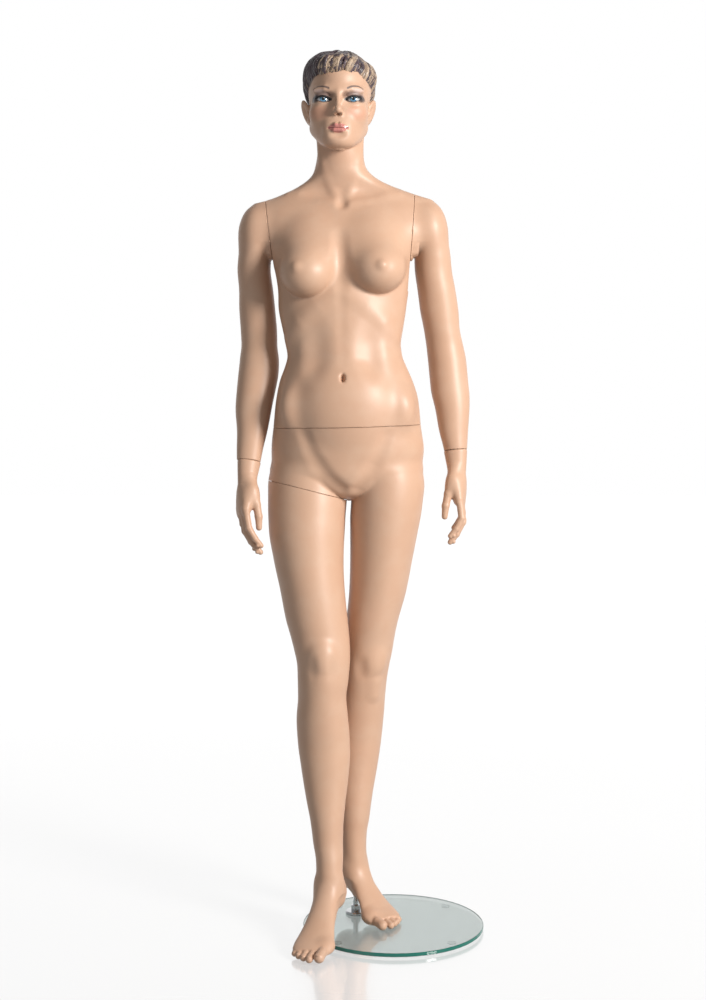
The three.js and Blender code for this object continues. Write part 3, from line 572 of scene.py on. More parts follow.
def face(p):
    q = mirrored(p)
    field = skull_sections.field(p)
    brow = [(-46, -51, 1731), (-26, -62, 1732), (0, -66, 1728), (26, -62, 1732), (46, -51, 1731)]
    upper_lip = [(0, -79.4, 1658.8), (5, -79.6, 1660.2), (19.5, -70.5, 1654.6)]
    lower_lip = [(0, -78.8, 1648.6), (7, -78.2, 1648.8), (18, -71, 1653)]
    mouth_line = [(0, -87, 1654.6), (7, -86, 1653.8), (14, -80.5, 1654.6), (20.5, -74.5, 1653.4)]
    eyelids = (EYE["half_gap"], EYE["y"] + 3, EYE["z"])
    crease = [(16, -65, 1720), (29, -69.5, 1724.5), (44, -60, 1719.5)]
    field = shaped(
        field,
        (22, cone(q, (41, -2, 1662), (18, -52, 1635), 15.5, 13.5)),  # jaw
        (26, ellipsoid(q, (33, -37, 1688), (23, 23, 22), turn_z(24))),  # cheek
        (16, ellipsoid(q, (0, -60, 1633.5), (17, 15, 12.5))),  # chin
        (-13, ellipsoid(q, (28, -76, 1712), (20, 12, 11), turn_z(12))),  # eye socket
        (14, chain(p - (FACE_X, 0, 0), brow, [4.5] * 5)),
        (10, cone(q, (0, -70, 1722), (0, -86.5, 1693), 4.6, 5.2)),  # nose bridge
        (7, ellipsoid(q, (0, -88.5, 1688), (5.8, 7.2, 6.2))),  # nose tip
        (6, ellipsoid(q, (6.6, -81, 1684.0), (3.6, 7.0, 4.4))),  # nose wing
        (-2.0, ellipsoid(q, (4.4, -86, 1679.8), (2.2, 4.2, 2.8))),  # nostril
        (18, ellipsoid(q, (0, -63.5, 1655), (26, 13, 20))),  # mouth's mound
        (-4, cone(q, (0, -85.5, 1677), (0, -83.5, 1668), 1.6, 2.0)),  # groove under the nose
        (3.4, chain(q, upper_lip, [3.9, 4.3, 1.3])),
        (3.4, chain(q, lower_lip, [5.6, 5.4, 1.6])),
        (-1.6, chain(q, mouth_line, [1.7, 1.6, 1.3, 1.1])),
        (-9, ellipsoid(q, (0, -82.5, 1640), (14, 6, 4.5))),  # hollow above the chin
        (5, ellipsoid(q, eyelids, (18.5, 17.6, 15.5))),
        (-3, chain(q, crease, [1.2, 1.5, 1.2])),
        (-1.0, np.maximum(eye_opening(q), q[:, 1] - (EYE["y"] + 2))),
    )
    return np.minimum(field, ellipsoid(q, EYE_CENTRE, (EYE["radius"] - 0.6,) * 3))


def ears(p, field):
    q = mirrored(p)
    q[:, 0] -= (q[:, 2] - 1697) * 0.34
    turn = turn_z(-24) @ turn_x(8)
    ear = shaped(
        ellipsoid(q, (64.5, 20, 1697), (7.0, 16, 26), turn),
        (-3, ellipsoid(q, (71, 13, 1698), (6.5, 10, 17), turn)),  # bowl
        (3.5, ellipsoid(q, (67.5, 20.5, 1699), (3, 5, 14), turn)),  # inner ridge
        (2.5, ellipsoid(q, (62, 7.5, 1693), (4, 4, 5.5))),  # flap before the bowl
        (5, ellipsoid(q, (63.5, 14, 1677), (4.6, 7.5, 7.0))),  # lobe
    )
    return smooth_join(field, ear, 4)


def head_field(p):
    neck = shaped(torso_sections.field(p), *[(13, chain(p, cord, CORD_RADII)) for cord in NECK_CORDS])
    nape = ellipsoid(p, (-27, 66, 1656), (40, 26, 44))
    from_middle = np.abs(p[:, 0] + 26)
    return ears(p, shaped(face(p), (22, nape), (np.interp(from_middle, [20, 45], [8.0, 12.0]), neck)))


# ------------------------------------------------------------------ meshes from fields


AT_ONCE = 400000  # grid points worked out together


def crossed_cells(inside):
    """Which cells of a grid have some corners inside and some outside."""
    i, j, k = np.array(inside.shape) - 1
    corners = [inside[a:i + a, b:j + b, c:k + c] for a in (0, 1) for b in (0, 1) for c in (0, 1)]
    total = sum(corner.astype(np.int8) for corner in corners)
    return (total > 0) & (total < 8)


def grid_values(field, low, high, step):
    """Field values on a grid: every point near the surface, and one value per block elsewhere."""
    block = 4
    counts = np.ceil((high - low) / (step * block)).astype(int)
    axes = [low[i] + step * block * np.arange(counts[i] + 1) for i in range(3)]
    points = np.stack(np.meshgrid(*axes, indexing="ij"), axis=-1).reshape(-1, 3)
    coarse = field(points).reshape(counts + 1)
    near = crossed_cells(coarse < 0) | (np.abs(coarse[:-1, :-1, :-1]) < step * block * 1.3)
    grown = near.copy()
    for axis in range(3):
        for shift in (-1, 1):
            grown |= np.roll(near, shift, axis)
    values, wanted = coarse[:-1, :-1, :-1], grown
    for axis in range(3):
        values, wanted = np.repeat(values, block, axis), np.repeat(wanted, block, axis)
    index = np.argwhere(wanted)
    for start in range(0, len(index), AT_ONCE):
        part = index[start:start + AT_ONCE]
        values[tuple(part.T)] = field(low + step * part)
    return values


def surface(field, low, high, step):
    """Vertices and quads of the field's zero surface, one vertex in each crossed cell."""
    low, high = np.array(low, float), np.array(high, float)
    values = grid_values(field, low, high, step)
    inside = values < 0
    crossed_here = crossed_cells(inside)
    cells = np.argwhere(crossed_here)
    number = np.full(crossed_here.shape, -1)
    number[tuple(cells.T)] = np.arange(len(cells))
    spot, hits = np.zeros((len(cells), 3)), np.zeros(len(cells))
    quads = []
    for axis in range(3):
        along, du, dv = (np.eye(3, dtype=int)[(axis + turn) % 3] for turn in range(3))
        for start in (0 * du, dv, du, du + dv):
            first = cells + start
            f0, f1 = values[tuple(first.T)], values[tuple((first + along).T)]
            crossed = (f0 < 0) != (f1 < 0)
            t = f0[crossed] / (f0[crossed] - f1[crossed])
            spot[crossed] += start + t[:, None] * along
            hits[crossed] += 1
        slices0, slices1 = [slice(1, -1)] * 3, [slice(1, -1)] * 3
        slices0[axis], slices1[axis] = slice(0, -1), slice(1, None)
        edge = np.argwhere(inside[tuple(slices0)] != inside[tuple(slices1)]) + du + dv
        outward = inside[tuple(edge.T)]
        ring = np.stack([number[tuple((edge - d).T)] for d in (du + dv, dv, 0 * du, du)], axis=1)
        quads.append(np.where(outward[:, None], ring, ring[:, ::-1]))
    vertices = low + step * (cells + spot / hits[:, None])
    for _ in range(3):
        value, slope = gradient(field, vertices)
        move = (value / np.maximum((slope**2).sum(axis=1), 0.05))[:, None] * slope
        length = np.linalg.norm(move, axis=1, keepdims=True)
        vertices -= move * np.minimum(1, step * 0.6 / np.maximum(length, 1e-9))
    return vertices, np.concatenate(quads)


def gradient(field, p, reach=0.1):
    value = field(p)
    slope = np.stack([(field(p + reach * axis) - value) / reach for axis in np.eye(3)], axis=1)
    return value, slope


def to_row(points):
    """Figure millimetres to the row frame's metres."""
    return np.asarray(points, float) / 1000 + SHIFT


def mesh_object(name, vertices, faces):
    mesh = bpy.data.meshes.new(name)
    mesh.from_pydata(to_row(vertices).tolist(), [], faces)
    mesh.update()
    mesh.shade_smooth()
    return placed(name, mesh)


def placed(name, data):
    """An object for a mesh, light or camera, put into the scene."""
    thing = bpy.data.objects.new(name, data)
    bpy.context.scene.collection.objects.link(thing)
    return thing


def from_bmesh(name, bm):
    mesh = bpy.data.meshes.new(name)
    bm.to_mesh(mesh)
    bm.free()
    return placed(name, mesh)


def field_object(name, field, low, high, step):
    vertices, quads = surface(field, low, high, step)
    return mesh_object(name, vertices, quads.tolist())


# ------------------------------------------------------------------ cutting at the seams

# A rim's steps from the outline: how far inside the wall, and how far back from the cut.
RIM = [(0.0005, 0.0), (0.0034, 0.0), (0.0034, 0.0005), (0.0115, 0.016)]
LIPPED_RIM = RIM[:3] + [(0.0068, 0.0006), (0.007, -0.0016), (0.0084, -0.0016), (0.015, 0.016)]


def turn_rim(bm, place, back, steps):
    """Gives the open edge in a cut plane a narrow lip and a short wall going back inside."""
    bm.normal_update()
    edges = [e for e in bm.edges if e.is_boundary and all(abs((v.co - place).dot(back)) < 2e-5 for v in e.verts)]
    pairs = []
    for edge in edges:
        loop = edge.link_loops[0]
        pairs.append((loop.vert, loop.link_loop_next.vert))
    start = {v: v.co.copy() for pair in pairs for v in pair}
    inside = {}
    for vert in start:
        normal = vert.normal - vert.normal.dot(back) * back
        inside[vert] = -normal.normalized() if normal.length > 1e-6 else Vector((0, 0, 0))
        vert.co += back * 0.0005
    previous = {v: v for v in start}
    for across, along in steps:
        new = {v: bm.verts.new(co + inside[v] * across + back * along) for v, co in start.items()}
        for a, b in pairs:
            bm.faces.new((previous[b], previous[a], new[a], new[b]))
        previous = new


def cut(piece, point, normal, beyond=None, lip=RIM):
    """Removes what lies past a plane, or only its faces that beyond(centres) picks, and turns the open rim in."""
    bm = bmesh.new()
    bm.from_mesh(piece.data)
    normal = Vector(normal).normalized()
    place = Vector(to_row(point))
    everything = bm.verts[:] + bm.edges[:] + bm.faces[:]
    bmesh.ops.bisect_plane(bm, geom=everything, plane_co=place, plane_no=normal, dist=1e-7)
    centres = np.array([face.calc_center_median() for face in bm.faces])
    past = (centres - np.array(place)) @ np.array(normal) > 0
    if beyond is not None:
        past &= beyond((centres - SHIFT) * 1000)
    bmesh.ops.delete(bm, geom=[face for face, gone in zip(bm.faces[:], past) if gone], context="FACES")
    if lip:
        turn_rim(bm, place, -normal, lip)
    bm.to_mesh(piece.data)
    bm.free()
    piece.data.shade_smooth()
    piece.data.set_sharp_from_angle(angle=math.radians(55))


def cut_at(piece, name, side, beyond=None, lip=RIM):
    """Cuts a piece at a named seam, keeping the side that its normal leaves (-1) or points to (1)."""
    point, normal = SEAMS[name]
    cut(piece, point + side * SEAM_GAP * normal, -side * normal, beyond, lip)


# ------------------------------------------------------------------ body pieces

HEAD_CUT = 1590  # the head's finer surface begins here
ANKLE_CUT = {"right": 176, "left": 206}
CROTCH_X = -11
BELOW_THIGH_SEAM = 800


def chest_beside_arm(p, side):
    """The chest's share of an arm piece, which narrows into the arm below the armpit."""
    origin, outward = SEAMS[f"shoulder_{side}"]
    beyond = (p - origin) @ (outward / np.linalg.norm(outward))
    return smooth_max(neck_to_waist(p), (1398 - p[:, 2]) * 0.6 - beyond * 0.8, 10)


def arm_field(p, side):
    return smooth_join(chest_beside_arm(p, side), arm_shape(p, side), shoulder_blend(p))


def right_leg_field(p):
    hips = np.maximum(hip_field(p), p[:, 0] - CROTCH_X + 0.5)
    return groin(p, smooth_join(hips, leg_field(p, "right"), thigh_blend(p)))


skin_pieces = []


def keep(piece, body, node):
    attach(piece, body)
    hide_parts(node)
    skin_pieces.append(piece)


torso = field_object("torso", torso_field, (-262, -150, 1040), (232, 158, 1600), 3.0)
cut_at(torso, "waist", 1)
for side in SIDES:
    cut_at(torso, f"shoulder_{side}", -1, lambda c: c[:, 2] > ARM_TOPS_FROM - 10)
cut(torso, (0, 0, HEAD_CUT + 1), (0, 0, 1), lip=None)
keep(torso, "upper_body", "upper_torso_shell")

ARM_BOXES = {
    "right": ((-262, -20, 950), (-120, 130, 1540)),
    "left": ((90, -20, 975), (262, 130, 1545)),
}
for side, (low, high) in ARM_BOXES.items():
    arm = field_object(f"arm_{side}", lambda p: arm_field(p, side), low, high, 2.6)
    cut_at(arm, f"shoulder_{side}", 1)
    cut_at(arm, f"wrist_{side}", -1)
    keep(arm, f"arm_{side}", f"{side}_arm_shell")
    hand_low = (low[0] - (0 if side == "left" else 20), low[1] - 75, 775)
    hand = field_object(f"hand_{side}", lambda p: hand_field(p, side), hand_low, (high[0] + 20, 130, 1030), 1.3)
    cut_at(hand, f"wrist_{side}", 1)
    keep(hand, f"hand_{side}", f"{side}_hand")

hips = field_object("hips_and_leg", lower_body, (-190, -150, 190), (170, 185, 1092), 3.1)
cut_at(hips, "waist", -1)
cut_at(hips, "thigh", -1, lambda c: (c[:, 0] < CROTCH_X) & (c[:, 2] > BELOW_THIGH_SEAM))
cut(hips, (0, 0, ANKLE_CUT["left"]), (0, 0, -1), lip=None)
keep(hips, "lower_body", "lower_body_shell")

leg = field_object("leg_right", right_leg_field, (-190, -110, 160), (0, 140, 1000), 2.8)
cut_at(leg, "thigh", 1, lip=LIPPED_RIM)
cut(leg, (0, 0, ANKLE_CUT["right"]), (0, 0, -1), lip=None)
keep(leg, "right_leg", "right_leg_shell")

for side, body in (("right", "right_leg"), ("left", "lower_body")):
    corners = np.array([foot_point(side, d, a, 0) for d in (-40, 200) for a in (-55, 55)])
    low = corners.min(axis=0) - [12, 12, 6]
    high = corners.max(axis=0) + [12, 12, 0]
    high[2] = ANKLE_CUT[side] + 8
    foot = field_object(f"foot_{side}", lambda p: leg_field(p, side), low, high, 1.7)
    cut(foot, (0, 0, ANKLE_CUT[side] + 1), (0, 0, 1), lip=None)
    keep(foot, body, f"{body}_shell")

head = field_object("head", head_field, (-108, -108, 1570), (52, 130, 1822), 1.5)
cut(head, (0, 0, HEAD_CUT), (0, 0, -1), lip=None)
keep(head, "upper_body", "upper_torso_shell")

# ------------------------------------------------------------------ eyes

EYE_RINGS = 64
eyes = []
for name, side in (("eye_right", -1), ("eye_left", 1)):
    centre = to_row((FACE_X + side * EYE_CENTRE[0], *EYE_CENTRE[1:]))
    bm = bmesh.new()
    bmesh.ops.create_uvsphere(bm, u_segments=EYE_RINGS, v_segments=EYE_RINGS // 2, radius=EYE["radius"] / 1000)
    bmesh.ops.transform(bm, matrix=Matrix.Translation(Vector(centre)), verts=bm.verts)
    eye = from_bmesh(name, bm)
    eye.data.shade_smooth()
    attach(eye, "upper_body")
    eyes.append(eye)

# ------------------------------------------------------------------ hair

CROWN = np.array([-27.0, 34.0, 1736.0])


def hair_field(p):
    cap = shaped(
        hair_sections.field(p),
        (16, ellipsoid(p, (-34, -44, 1780), (46, 32, 22), turn_x(-10))),  # fringe
        (7, ellipsoid(p, (14, 4, 1768), (28, 52, 27), turn_z(-12))),  # tuft above the left temple
    )
    x, y, z = p.T
    waves = np.sin(x * 0.19 + y * 0.11) * np.sin(y * 0.16 - x * 0.07 + z * 0.05)
    return cap - 1.5 * waves * np.clip((z - 1690) / 40, 0, 1)


# The hair's lower edge: the height where it ends, by how far ahead of the head's middle.
EDGE_AHEAD = [-110, -75, -52, -40, -12, -2, 12, 31, 50, 72]
EDGE_HEIGHTS = [1655, 1668, 1690, 1717, 1717, 1709, 1713, 1739, 1762, 1774]


def hair_base_field(p):
    """The cap under the locks, kept behind the face and above the ears."""
    edge = np.interp(-p[:, 1], EDGE_AHEAD, EDGE_HEIGHTS) + 5
    return smooth_max(hair_field(p) + 4.0, edge - p[:, 2], 3)


def combed(around, tips):
    """Polar angles of the rays from the crown's middle that meet the hair at the tips' heights, and the spots."""
    polar = np.full(len(tips), 1.2)
    for _ in range(4):
        hit = from_crown(rays(around, polar))
        polar = np.arccos(np.clip((tips - CROWN[2]) / np.linalg.norm(hit - CROWN, axis=1), -0.97, 0.97))
    return polar, hit


def from_crown(directions):
    """Where rays from the crown's middle leave the hair."""
    return on_surface(hair_field, np.repeat(CROWN[None], len(directions), 0), directions, 140)


def rays(around, polar):
    return np.stack([np.sin(around) * np.sin(polar), -np.cos(around) * np.sin(polar), np.cos(polar)], axis=-1)


def lock_paths(rng, count):
    """Centre lines of the locks, combed from the crown over the cap and ending along the hair's edge."""
    ends = np.sort(rng.uniform(-180, 180, count))
    around_end = np.radians(ends)
    tips = np.full(count, 1740.0)
    for _ in range(4):
        _, hit = combed(around_end, tips)
        tips = np.interp(-hit[:, 1], EDGE_AHEAD, EDGE_HEIGHTS)
    tips = tips + rng.uniform(-7, 8, count)
    polar_end, _ = combed(around_end, tips)
    steps = np.linspace(0, 1, 18)
    for end, polar_tip in zip(ends, polar_end):
        swirl = rng.uniform(50, 95) if abs(end) < 62 else rng.uniform(8, 34)
        start = end + swirl
        begin = rng.uniform(0.05, 0.55)
        t = begin + (1 - begin) * steps
        polar = math.radians(5) + (polar_tip - math.radians(5)) * t
        wave = rng.uniform(4, 9) * np.sin(t * rng.uniform(5, 9) + rng.uniform(0, 6))
        around = np.radians(start + (end - start) * t**1.3 + wave * (1 - t * 0.4))
        direction = rays(around, polar)
        base = from_crown(direction)
        lift = rng.uniform(-2.2, 0.8) + 1.8 * np.sin(np.pi * steps) - 2.6 * steps**4
        yield base + lift[:, None] * direction, direction, end


LOCKS = 620
LOCK_SIDES = 6
LOCK_HALF_WIDTHS = (2.2, 4.4)
LOCK_FLATNESS = 0.42
HAIR_SEED = 7


def lock_mesh(name, chosen):
    """One tapering strand for each lock that is light (chosen True) or dark."""
    rng = np.random.default_rng(HAIR_SEED)
    vertices, faces = [], []
    ring = np.linspace(0, 2 * np.pi, LOCK_SIDES + 1)[:-1]
    for path, out, end in lock_paths(rng, LOCKS):
        light = rng.uniform() < (0.52 if -58 < end < 115 else 0.14)
        if light != chosen:
            continue
        tangent = np.gradient(path, axis=0)
        tangent /= np.linalg.norm(tangent, axis=1, keepdims=True)
        across = np.cross(tangent, out)
        across /= np.linalg.norm(across, axis=1, keepdims=True)
        normal = np.cross(across, tangent)
        t = np.linspace(0, 1, len(path))
        width = rng.uniform(*LOCK_HALF_WIDTHS) * np.minimum(1, (t + 0.03) * 6) ** 0.5 * (1 - t**3) ** 0.7 + 0.25
        first = len(vertices)
        for i, point in enumerate(path):
            for angle in ring:
                edge = across[i] * width[i] * math.cos(angle) + normal[i] * width[i] * LOCK_FLATNESS * math.sin(angle)
                vertices.append(point + edge)
        last = first + (len(path) - 1) * LOCK_SIDES
        for row in range(first, last, LOCK_SIDES):
            for j in range(LOCK_SIDES):
                a, b = row + j, row + (j + 1) % LOCK_SIDES
                faces.append((a, b, b + LOCK_SIDES, a + LOCK_SIDES))
        faces.append(tuple(range(first + LOCK_SIDES - 1, first - 1, -1)))
        faces.append(tuple(range(last, last + LOCK_SIDES)))
    return mesh_object(name, vertices, faces)


hair_base = field_object("hair_base", hair_base_field, (-108, -75, 1680), (54, 128, 1828), 2.2)
hair_dark = lock_mesh("hair_locks_dark", False)
hair_light = lock_mesh("hair_locks_light", True)
for piece in (hair_base, hair_dark, hair_light):
    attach(piece, "upper_body")

# ------------------------------------------------------------------ node materials


class Wire:
    """A number in a node tree, so that masks can be written as sums."""

    def __init__(self, tree, socket):
        self.tree, self.socket = tree, socket

    def math(self, operation, *others, clamp=False):
        node = self.tree.nodes.new("ShaderNodeMath")
        node.operation, node.use_clamp = operation, clamp
        for i, value in enumerate((self, *others)):
            if isinstance(value, Wire):
                self.tree.links.new(value.socket, node.inputs[i])
            else:
                node.inputs[i].default_value = value
        return Wire(self.tree, node.outputs[0])

    def __add__(self, other):
        return self.math("ADD", other)

    def __sub__(self, other):
        return self.math("SUBTRACT", other)

    def __mul__(self, other):
        return self.math("MULTIPLY", other)

    def __truediv__(self, other):
        return self.math("DIVIDE", other)

    def rsub(self, number):
        return (self * -1.0) + number

    def absolute(self):
        return self.math("ABSOLUTE")

    def most(self, other):
        return self.math("MAXIMUM", other)

    def below(self, level, softness):
        """1 where this is below a level, 0 above it, with a soft edge."""
        return ((self * -1.0) + level).math("MULTIPLY_ADD", 1.0 / softness, 0.5, clamp=True)


class Paint:
    """A Principled material with helpers for object-space patterns, in figure millimetres."""

    def __init__(self, name, base, roughness, metallic=0.0):
        self.material = bpy.data.materials.new(name)
        self.material.use_nodes = True
        self.tree = self.material.node_tree
        self.shader = self.tree.nodes["Principled BSDF"]
        self.shader.inputs["Roughness"].default_value = roughness
        self.shader.inputs["Metallic"].default_value = metallic
        coordinates = self.tree.nodes.new("ShaderNodeTexCoord")
        split = self.tree.nodes.new("ShaderNodeSeparateXYZ")
        self.place = coordinates.outputs["Object"]
        self.tree.links.new(self.place, split.inputs[0])
        self.x, self.y, self.z = (
            (Wire(self.tree, split.outputs[i]) - float(SHIFT[i])) * 1000.0 for i in range(3)
        )
        node = self.tree.nodes.new("ShaderNodeRGB")
        node.outputs[0].default_value = (*base, 1)
        self.color = node.outputs[0]

    def noise(self, scale, detail=3.0, stretch=(1, 1, 1)):
        mapping = self.tree.nodes.new("ShaderNodeMapping")
        mapping.inputs["Scale"].default_value = stretch
        self.tree.links.new(self.place, mapping.inputs["Vector"])
        node = self.tree.nodes.new("ShaderNodeTexNoise")
        node.inputs["Scale"].default_value = scale
        node.inputs["Detail"].default_value = detail
        self.tree.links.new(mapping.outputs[0], node.inputs["Vector"])
        return Wire(self.tree, node.outputs["Fac"])

    def over(self, mask, tint):
        """Lays a colour over what is there, where the mask is 1."""
        mix = self.tree.nodes.new("ShaderNodeMix")
        mix.data_type = "RGBA"
        self.tree.links.new(mask.socket, mix.inputs[0])
        self.tree.links.new(self.color, mix.inputs[6])
        if isinstance(tint, tuple):
            mix.inputs[7].default_value = (*tint, 1)
        else:
            self.tree.links.new(tint, mix.inputs[7])
        self.color = mix.outputs[2]

    def mottle(self, scale, detail, level, softness, strength, tint, stretch=(1, 1, 1)):
        """Lays a colour in the noise's low patches."""
        patches = self.noise(scale, detail, stretch).below(level, softness)
        self.over(patches * strength if strength < 1 else patches, tint)

    def rough(self, wire):
        self.tree.links.new(wire.socket, self.shader.inputs["Roughness"])

    def bump(self, wire, distance, strength=1.0):
        node = self.tree.nodes.new("ShaderNodeBump")
        node.inputs["Distance"].default_value = distance
        node.inputs["Strength"].default_value = strength
        self.tree.links.new(wire.socket, node.inputs["Height"])
        self.tree.links.new(node.outputs[0], self.shader.inputs["Normal"])

    def set(self, **values):
        for key, value in values.items():
            self.shader.inputs[key.replace("_", " ")].default_value = value

    def done(self):
        self.tree.links.new(self.color, self.shader.inputs["Base Color"])
        return self.material


def srgb(code):
    """Linear colour from a hex string."""
    parts = [int(code[i:i + 2], 16) / 255 for i in (0, 2, 4)]
    return tuple(c / 12.92 if c <= 0.04045 else ((c + 0.055) / 1.055) ** 2.4 for c in parts)


def skin_paint(name):
    paint = Paint(name, srgb("c5a086"), 0.34)
    paint.mottle(6.0, 3, 0.52, 0.3, 0.35, srgb("be977f"))
    paint.mottle(26.0, 4, 0.46, 0.2, 0.22, srgb("caac95"))
    paint.rough(paint.noise(40.0, 3) * 0.08 + 0.43)
    paint.bump(paint.noise(900.0, 2), 0.00006, 0.35)
    paint.set(Coat_Weight=0.06, Coat_Roughness=0.3, Specular_IOR_Level=0.42)
    return paint


skin = skin_paint("painted_skin").done()


def face_paint():
    paint = skin_paint("painted_face")
    across = (paint.x - FACE_X).absolute()
    front = paint.y.below(-30, 8)

    def patch(x, half_width, z, half_height, level, softness, strength, tint):
        """A soft oval on both sides of the face."""
        a, b = (across - x) / half_width, (paint.z - z) / half_height
        paint.over((a * a + b * b).below(level, softness) * front * strength, srgb(tint))

    out = (across - EYE["half_gap"]) / EYE["half_width"]
    bow = (out * out).rsub(1.0).most(0.0)
    rise = paint.z - EYE["z"] - out * 1.2
    patch(38, 22.0, 1686, 17.0, 0.7, 0.9, 0.4, "c4836a")  # cheek
    patch(31, 22.0, 1720, 10.0, 0.7, 0.9, 0.8, "6a5a5a")  # upper lid
    patch(40, 12.0, 1730, 4.5, 0.7, 0.8, 0.3, "c9bcc2")  # highlight below the brow
    patch(15, 8.0, 1720, 9.0, 0.7, 0.9, 0.6, "6f5242")  # beside the nose bridge
    patch(45, 9.0, 1714, 8.0, 0.85, 0.9, 0.92, "2c2428")  # outer corner of the eye
    upper = (rise - bow * 4.9 - 1.0).absolute().below(2.3, 1.2) * out.absolute().below(1.1, 0.12)
    lower = (rise + bow * 5.0 + 0.3).absolute().below(1.3, 1.2) * out.absolute().below(1.08, 0.12)
    paint.over(lower * front * 0.85, srgb("3e3233"))
    paint.over(upper * front, srgb("161213"))
    peak = across - 38
    height = (paint.z - 1738 + peak * peak * 0.0135 + peak.most(0.0) * peak.most(0.0) * 0.025).absolute()
    thick = (across - 17) * -0.045 + 2.5
    stroke = (height - thick).below(0.0, 1.4) * (across - 34).absolute().below(16.5, 2.0)
    paint.over(stroke * front * 0.8, srgb("4c4446"))
    lip_top = (across - 5) * (across - 5) * -0.026 + 7.6
    lip_low = (across * across) * 0.0215 - 10.2
    level = paint.z - 1654.4
    lips = (level - lip_top).most(lip_low - level).below(0.0, 0.7) * across.below(21.8, 1.0)
    mouth_front = paint.y.below(-60, 4)
    paint.over(lips * mouth_front, srgb("bb7a72"))
    # Painted shade: a dark line along the crease between the lips.
    between = (level + 0.1).absolute().below(0.8, 0.7) * across.below(19.5, 2.0) * mouth_front
    paint.over(between * 0.8, srgb("5c2c28"))
    paint.rough(lips * -0.3 + 0.48)
    scalp = ((paint.y + 50) * -0.6 + 1766 - paint.z).below(-1.0, 5.0) * (paint.z * -1.0).below(-1744, 6.0)
    paint.over(scalp, srgb("5a4840"))
    return paint.done()


def eye_paint():
    paint = Paint("painted_eye", srgb("c9cdd1"), 0.12)
    across = (paint.x - FACE_X).absolute() - EYE["half_gap"]
    rise = paint.z - (EYE["z"] + 0.8)
    away = (across * across + rise * rise).math("SQRT")
    paint.mottle(300, 3, 0.45, 0.2, 0.25, srgb("b4babf"))
    paint.over(away.below(7.1, 0.5), srgb("22343f"))
    iris = paint.noise(420.0, 3, (1, 0.1, 1)) * 0.8 + 0.4
    paint.over(away.below(6.0, 1.0) * iris.math("MINIMUM", 1.0), srgb("5690b4"))
    paint.over(away.below(2.9, 0.5), srgb("0c0d0f"))
    # Painted shadow: the eye's upper part is darkened where the upper lid's shadow would fall.
    paint.over((rise * -1.0).below(-0.6, 4.0) * 0.7, srgb("1d2226"))
    # Painted highlight: a small white catchlight painted on the eye as a reflection of the lamp.
    catchlight_spot = ((across + 2.2) * (across + 2.2) + (rise - 2.4) * (rise - 2.4)).math("SQRT")
    paint.over(catchlight_spot.below(0.9, 0.4), srgb("f4f6f6"))
    paint.set(Coat_Weight=1.0, Coat_Roughness=0.04)
    return paint.done()


def hair_paint(name, base, streak, dark):
    paint = Paint(name, srgb(base), 0.42)
    paint.mottle(90.0, 4, 0.5, 0.25, 1, srgb(streak), (1, 1, 0.25))
    paint.mottle(260.0, 3, 0.42, 0.15, 0.6, srgb(dark), (1, 1, 0.2))
    paint.over((paint.z * -1.0).below(-1806, 16.0) * 0.8, srgb("3a2d33"))
    paint.bump(paint.noise(700.0, 4, (1, 1, 0.12)), 0.0006, 0.8)
    paint.set(Specular_IOR_Level=0.6)
    return paint.done()


def metal_paint(name, base, roughness, grain):
    paint = Paint(name, srgb(base), roughness, 1.0)
    paint.mottle(grain, 4, 0.5, 0.4, 0.35, tuple(c * 0.72 for c in srgb(base)), (1, 1, 4))
    paint.rough(paint.noise(grain * 2, 3) * 0.12 + (roughness - 0.06))
    paint.bump(paint.noise(grain * 6, 2), 0.00004, 0.3)
    return paint.done()


def board_paint():
    paint = Paint("fibreboard", srgb("a98259"), 0.8)
    paint.mottle(240.0, 5, 0.5, 0.2, 1, srgb("8c6a46"))
    paint.mottle(700.0, 3, 0.4, 0.1, 0.6, srgb("c6a27a"))
    paint.bump(paint.noise(500.0, 4), 0.0004, 0.6)
    return paint.done()


def rubber_paint():
    paint = Paint("clear_rubber", srgb("f4f7f6"), 0.12)
    paint.mottle(120.0, 3, 0.5, 0.3, 0.4, srgb("eaf0ee"))
    paint.rough(paint.noise(200.0, 2) * 0.1 + 0.05)
    paint.set(Transmission_Weight=1.0, IOR=1.36)
    return paint.done()


GLASS_EDGE_FROM = 188.9  # radius beyond which the disc shows its ground green edge


def glass_paint():
    # Grey tint: partly the glass's own tint, and partly painted shade that makes the disc darker than float glass
    # absorbs.
    paint = Paint("float_glass", (0.61, 0.64, 0.63), 0.02)
    paint.mottle(8.0, 2, 0.5, 0.4, 0.2, (0.56, 0.59, 0.58))
    away = ((paint.x - DISC_X) * (paint.x - DISC_X) + (paint.y - DISC_Y) * (paint.y - DISC_Y)).math("SQRT")
    rim = (away * -1.0).below(-GLASS_EDGE_FROM, 0.5)
    paint.over(rim, (0.006, 0.16, 0.12))
    paint.rough(paint.noise(30.0, 3) * 0.02 + 0.01)
    paint.set(Transmission_Weight=1.0, IOR=1.52)
    paint.tree.links.new((rim * -0.85 + 1.0).socket, paint.shader.inputs["Transmission Weight"])
    tint = paint.tree.nodes.new("ShaderNodeVolumeAbsorption")
    tint.inputs["Color"].default_value = (0.05, 0.62, 0.48, 1)
    tint.inputs["Density"].default_value = 6.0
    output = paint.tree.nodes["Material Output"]
    paint.tree.links.new(tint.outputs[0], output.inputs["Volume"])
    return paint.done()


painted_face = face_paint()
painted_eye = eye_paint()
dark_hair = hair_paint("dark_hair", "3b2f33", "52434a", "1f181b")
light_hair = hair_paint("light_hair", "b59f88", "8a7461", "54443d")
steel = metal_paint("zinc_steel", "b9bcbd", 0.34, 60.0)
chrome = metal_paint("chrome", "d6d8da", 0.1, 25.0)
board = board_paint()
clear_rubber = rubber_paint()
glass = glass_paint()


def coat(piece, material):
    """Gives a piece its only material, and a visual piece its slot."""
    piece.data.materials.clear()
    piece.data.materials.append(material)


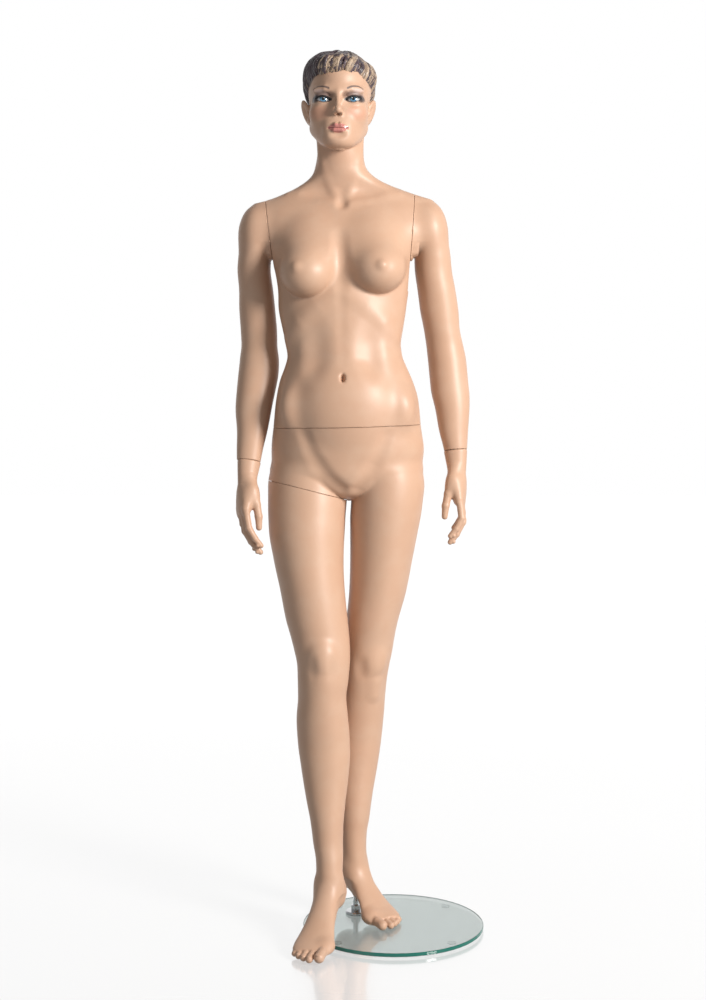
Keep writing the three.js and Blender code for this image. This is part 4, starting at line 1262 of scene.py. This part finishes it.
for piece in skin_pieces:
    coat(piece, painted_face if piece.name == "head" else skin)
painted = [(eye, painted_eye) for eye in eyes]
for piece, material in painted + [(hair_base, dark_hair), (hair_dark, dark_hair), (hair_light, light_hair)]:
    coat(piece, material)

CAD_FINISH = {"painted_skin": skin, "board": board, "zinc_steel": steel, "chrome": chrome,
              "clear_rubber": clear_rubber, "glass": glass}
for entry in frame["record"]["subparts"]:
    coat(frame["nodes"][entry["node"]], CAD_FINISH[entry["material_slot"]])

# ------------------------------------------------------------------ studio


def area_light(name, place, target, size, power, tint=(1, 1, 1)):
    data = bpy.data.lights.new(name, "AREA")
    data.shape, data.size, data.energy, data.color = "DISK", size, power, tint
    light = placed(name, data)
    light.location = place
    light.rotation_euler = (Vector(target) - Vector(place)).to_track_quat("-Z", "Y").to_euler()


def floor_piece():
    bm = bmesh.new()
    bmesh.ops.create_grid(bm, x_segments=24, y_segments=24, size=12)
    floor = from_bmesh("studio_floor", bm)
    paint = Paint("studio_floor", (0.16, 0.16, 0.16), 0.25)
    paint.mottle(3.0, 2, 0.5, 0.5, 0.2, (0.17, 0.165, 0.165))
    paint.set(Emission_Color=(1, 1, 1, 1), Emission_Strength=0.66, Coat_Weight=1.0, Coat_Roughness=0.1,
              Coat_IOR=1.8)
    floor.data.materials.append(paint.done())
    floor.location.z = -0.0005
    floor.visible_diffuse = False


def studio_world():
    """A white backdrop behind the figure, falling off to dim walls at the sides and behind the camera."""
    world = bpy.data.worlds.new("studio")
    world.use_nodes = True
    nodes, links = world.node_tree.nodes, world.node_tree.links
    place = nodes.new("ShaderNodeTexCoord")
    split = nodes.new("ShaderNodeSeparateXYZ")
    ramp = nodes.new("ShaderNodeMapRange")
    ramp.interpolation_type = "SMOOTHSTEP"
    ramp.inputs["From Min"].default_value = 0.45
    ramp.inputs["From Max"].default_value = 0.85
    ramp.inputs["To Min"].default_value = 0.3
    ramp.inputs["To Max"].default_value = 1.0
    links.new(place.outputs["Generated"], split.inputs[0])
    links.new(split.outputs["Y"], ramp.inputs["Value"])
    links.new(ramp.outputs[0], nodes["Background"].inputs["Strength"])
    nodes["Background"].inputs["Color"].default_value = (1, 1, 1, 1)
    bpy.context.scene.world = world


floor_piece()
studio_world()
area_light("key", (3.4, -3.0, 2.4), (0, 0, 1.1), 1.6, 330, (1.0, 0.975, 0.945))
area_light("fill", (-2.4, -3.0, 1.6), (0, 0, 1.0), 1.8, 8, (1.0, 0.95, 0.9))
bpy.context.scene.view_settings.view_transform = "Standard"

CAMERA_AWAY, CAMERA_HEIGHT, CAMERA_DOWN = 3.451, 1.177, 4.5  # metres, metres, degrees
lens = bpy.data.cameras.new("camera")
lens.sensor_width, lens.lens, lens.clip_end = 36, 60.2, 60
camera = placed("camera", lens)
camera.location = (SHIFT[0], SHIFT[1] - CAMERA_AWAY, CAMERA_HEIGHT)
camera.rotation_euler = (math.radians(90 - CAMERA_DOWN), 0, 0)
bpy.context.scene.camera = camera
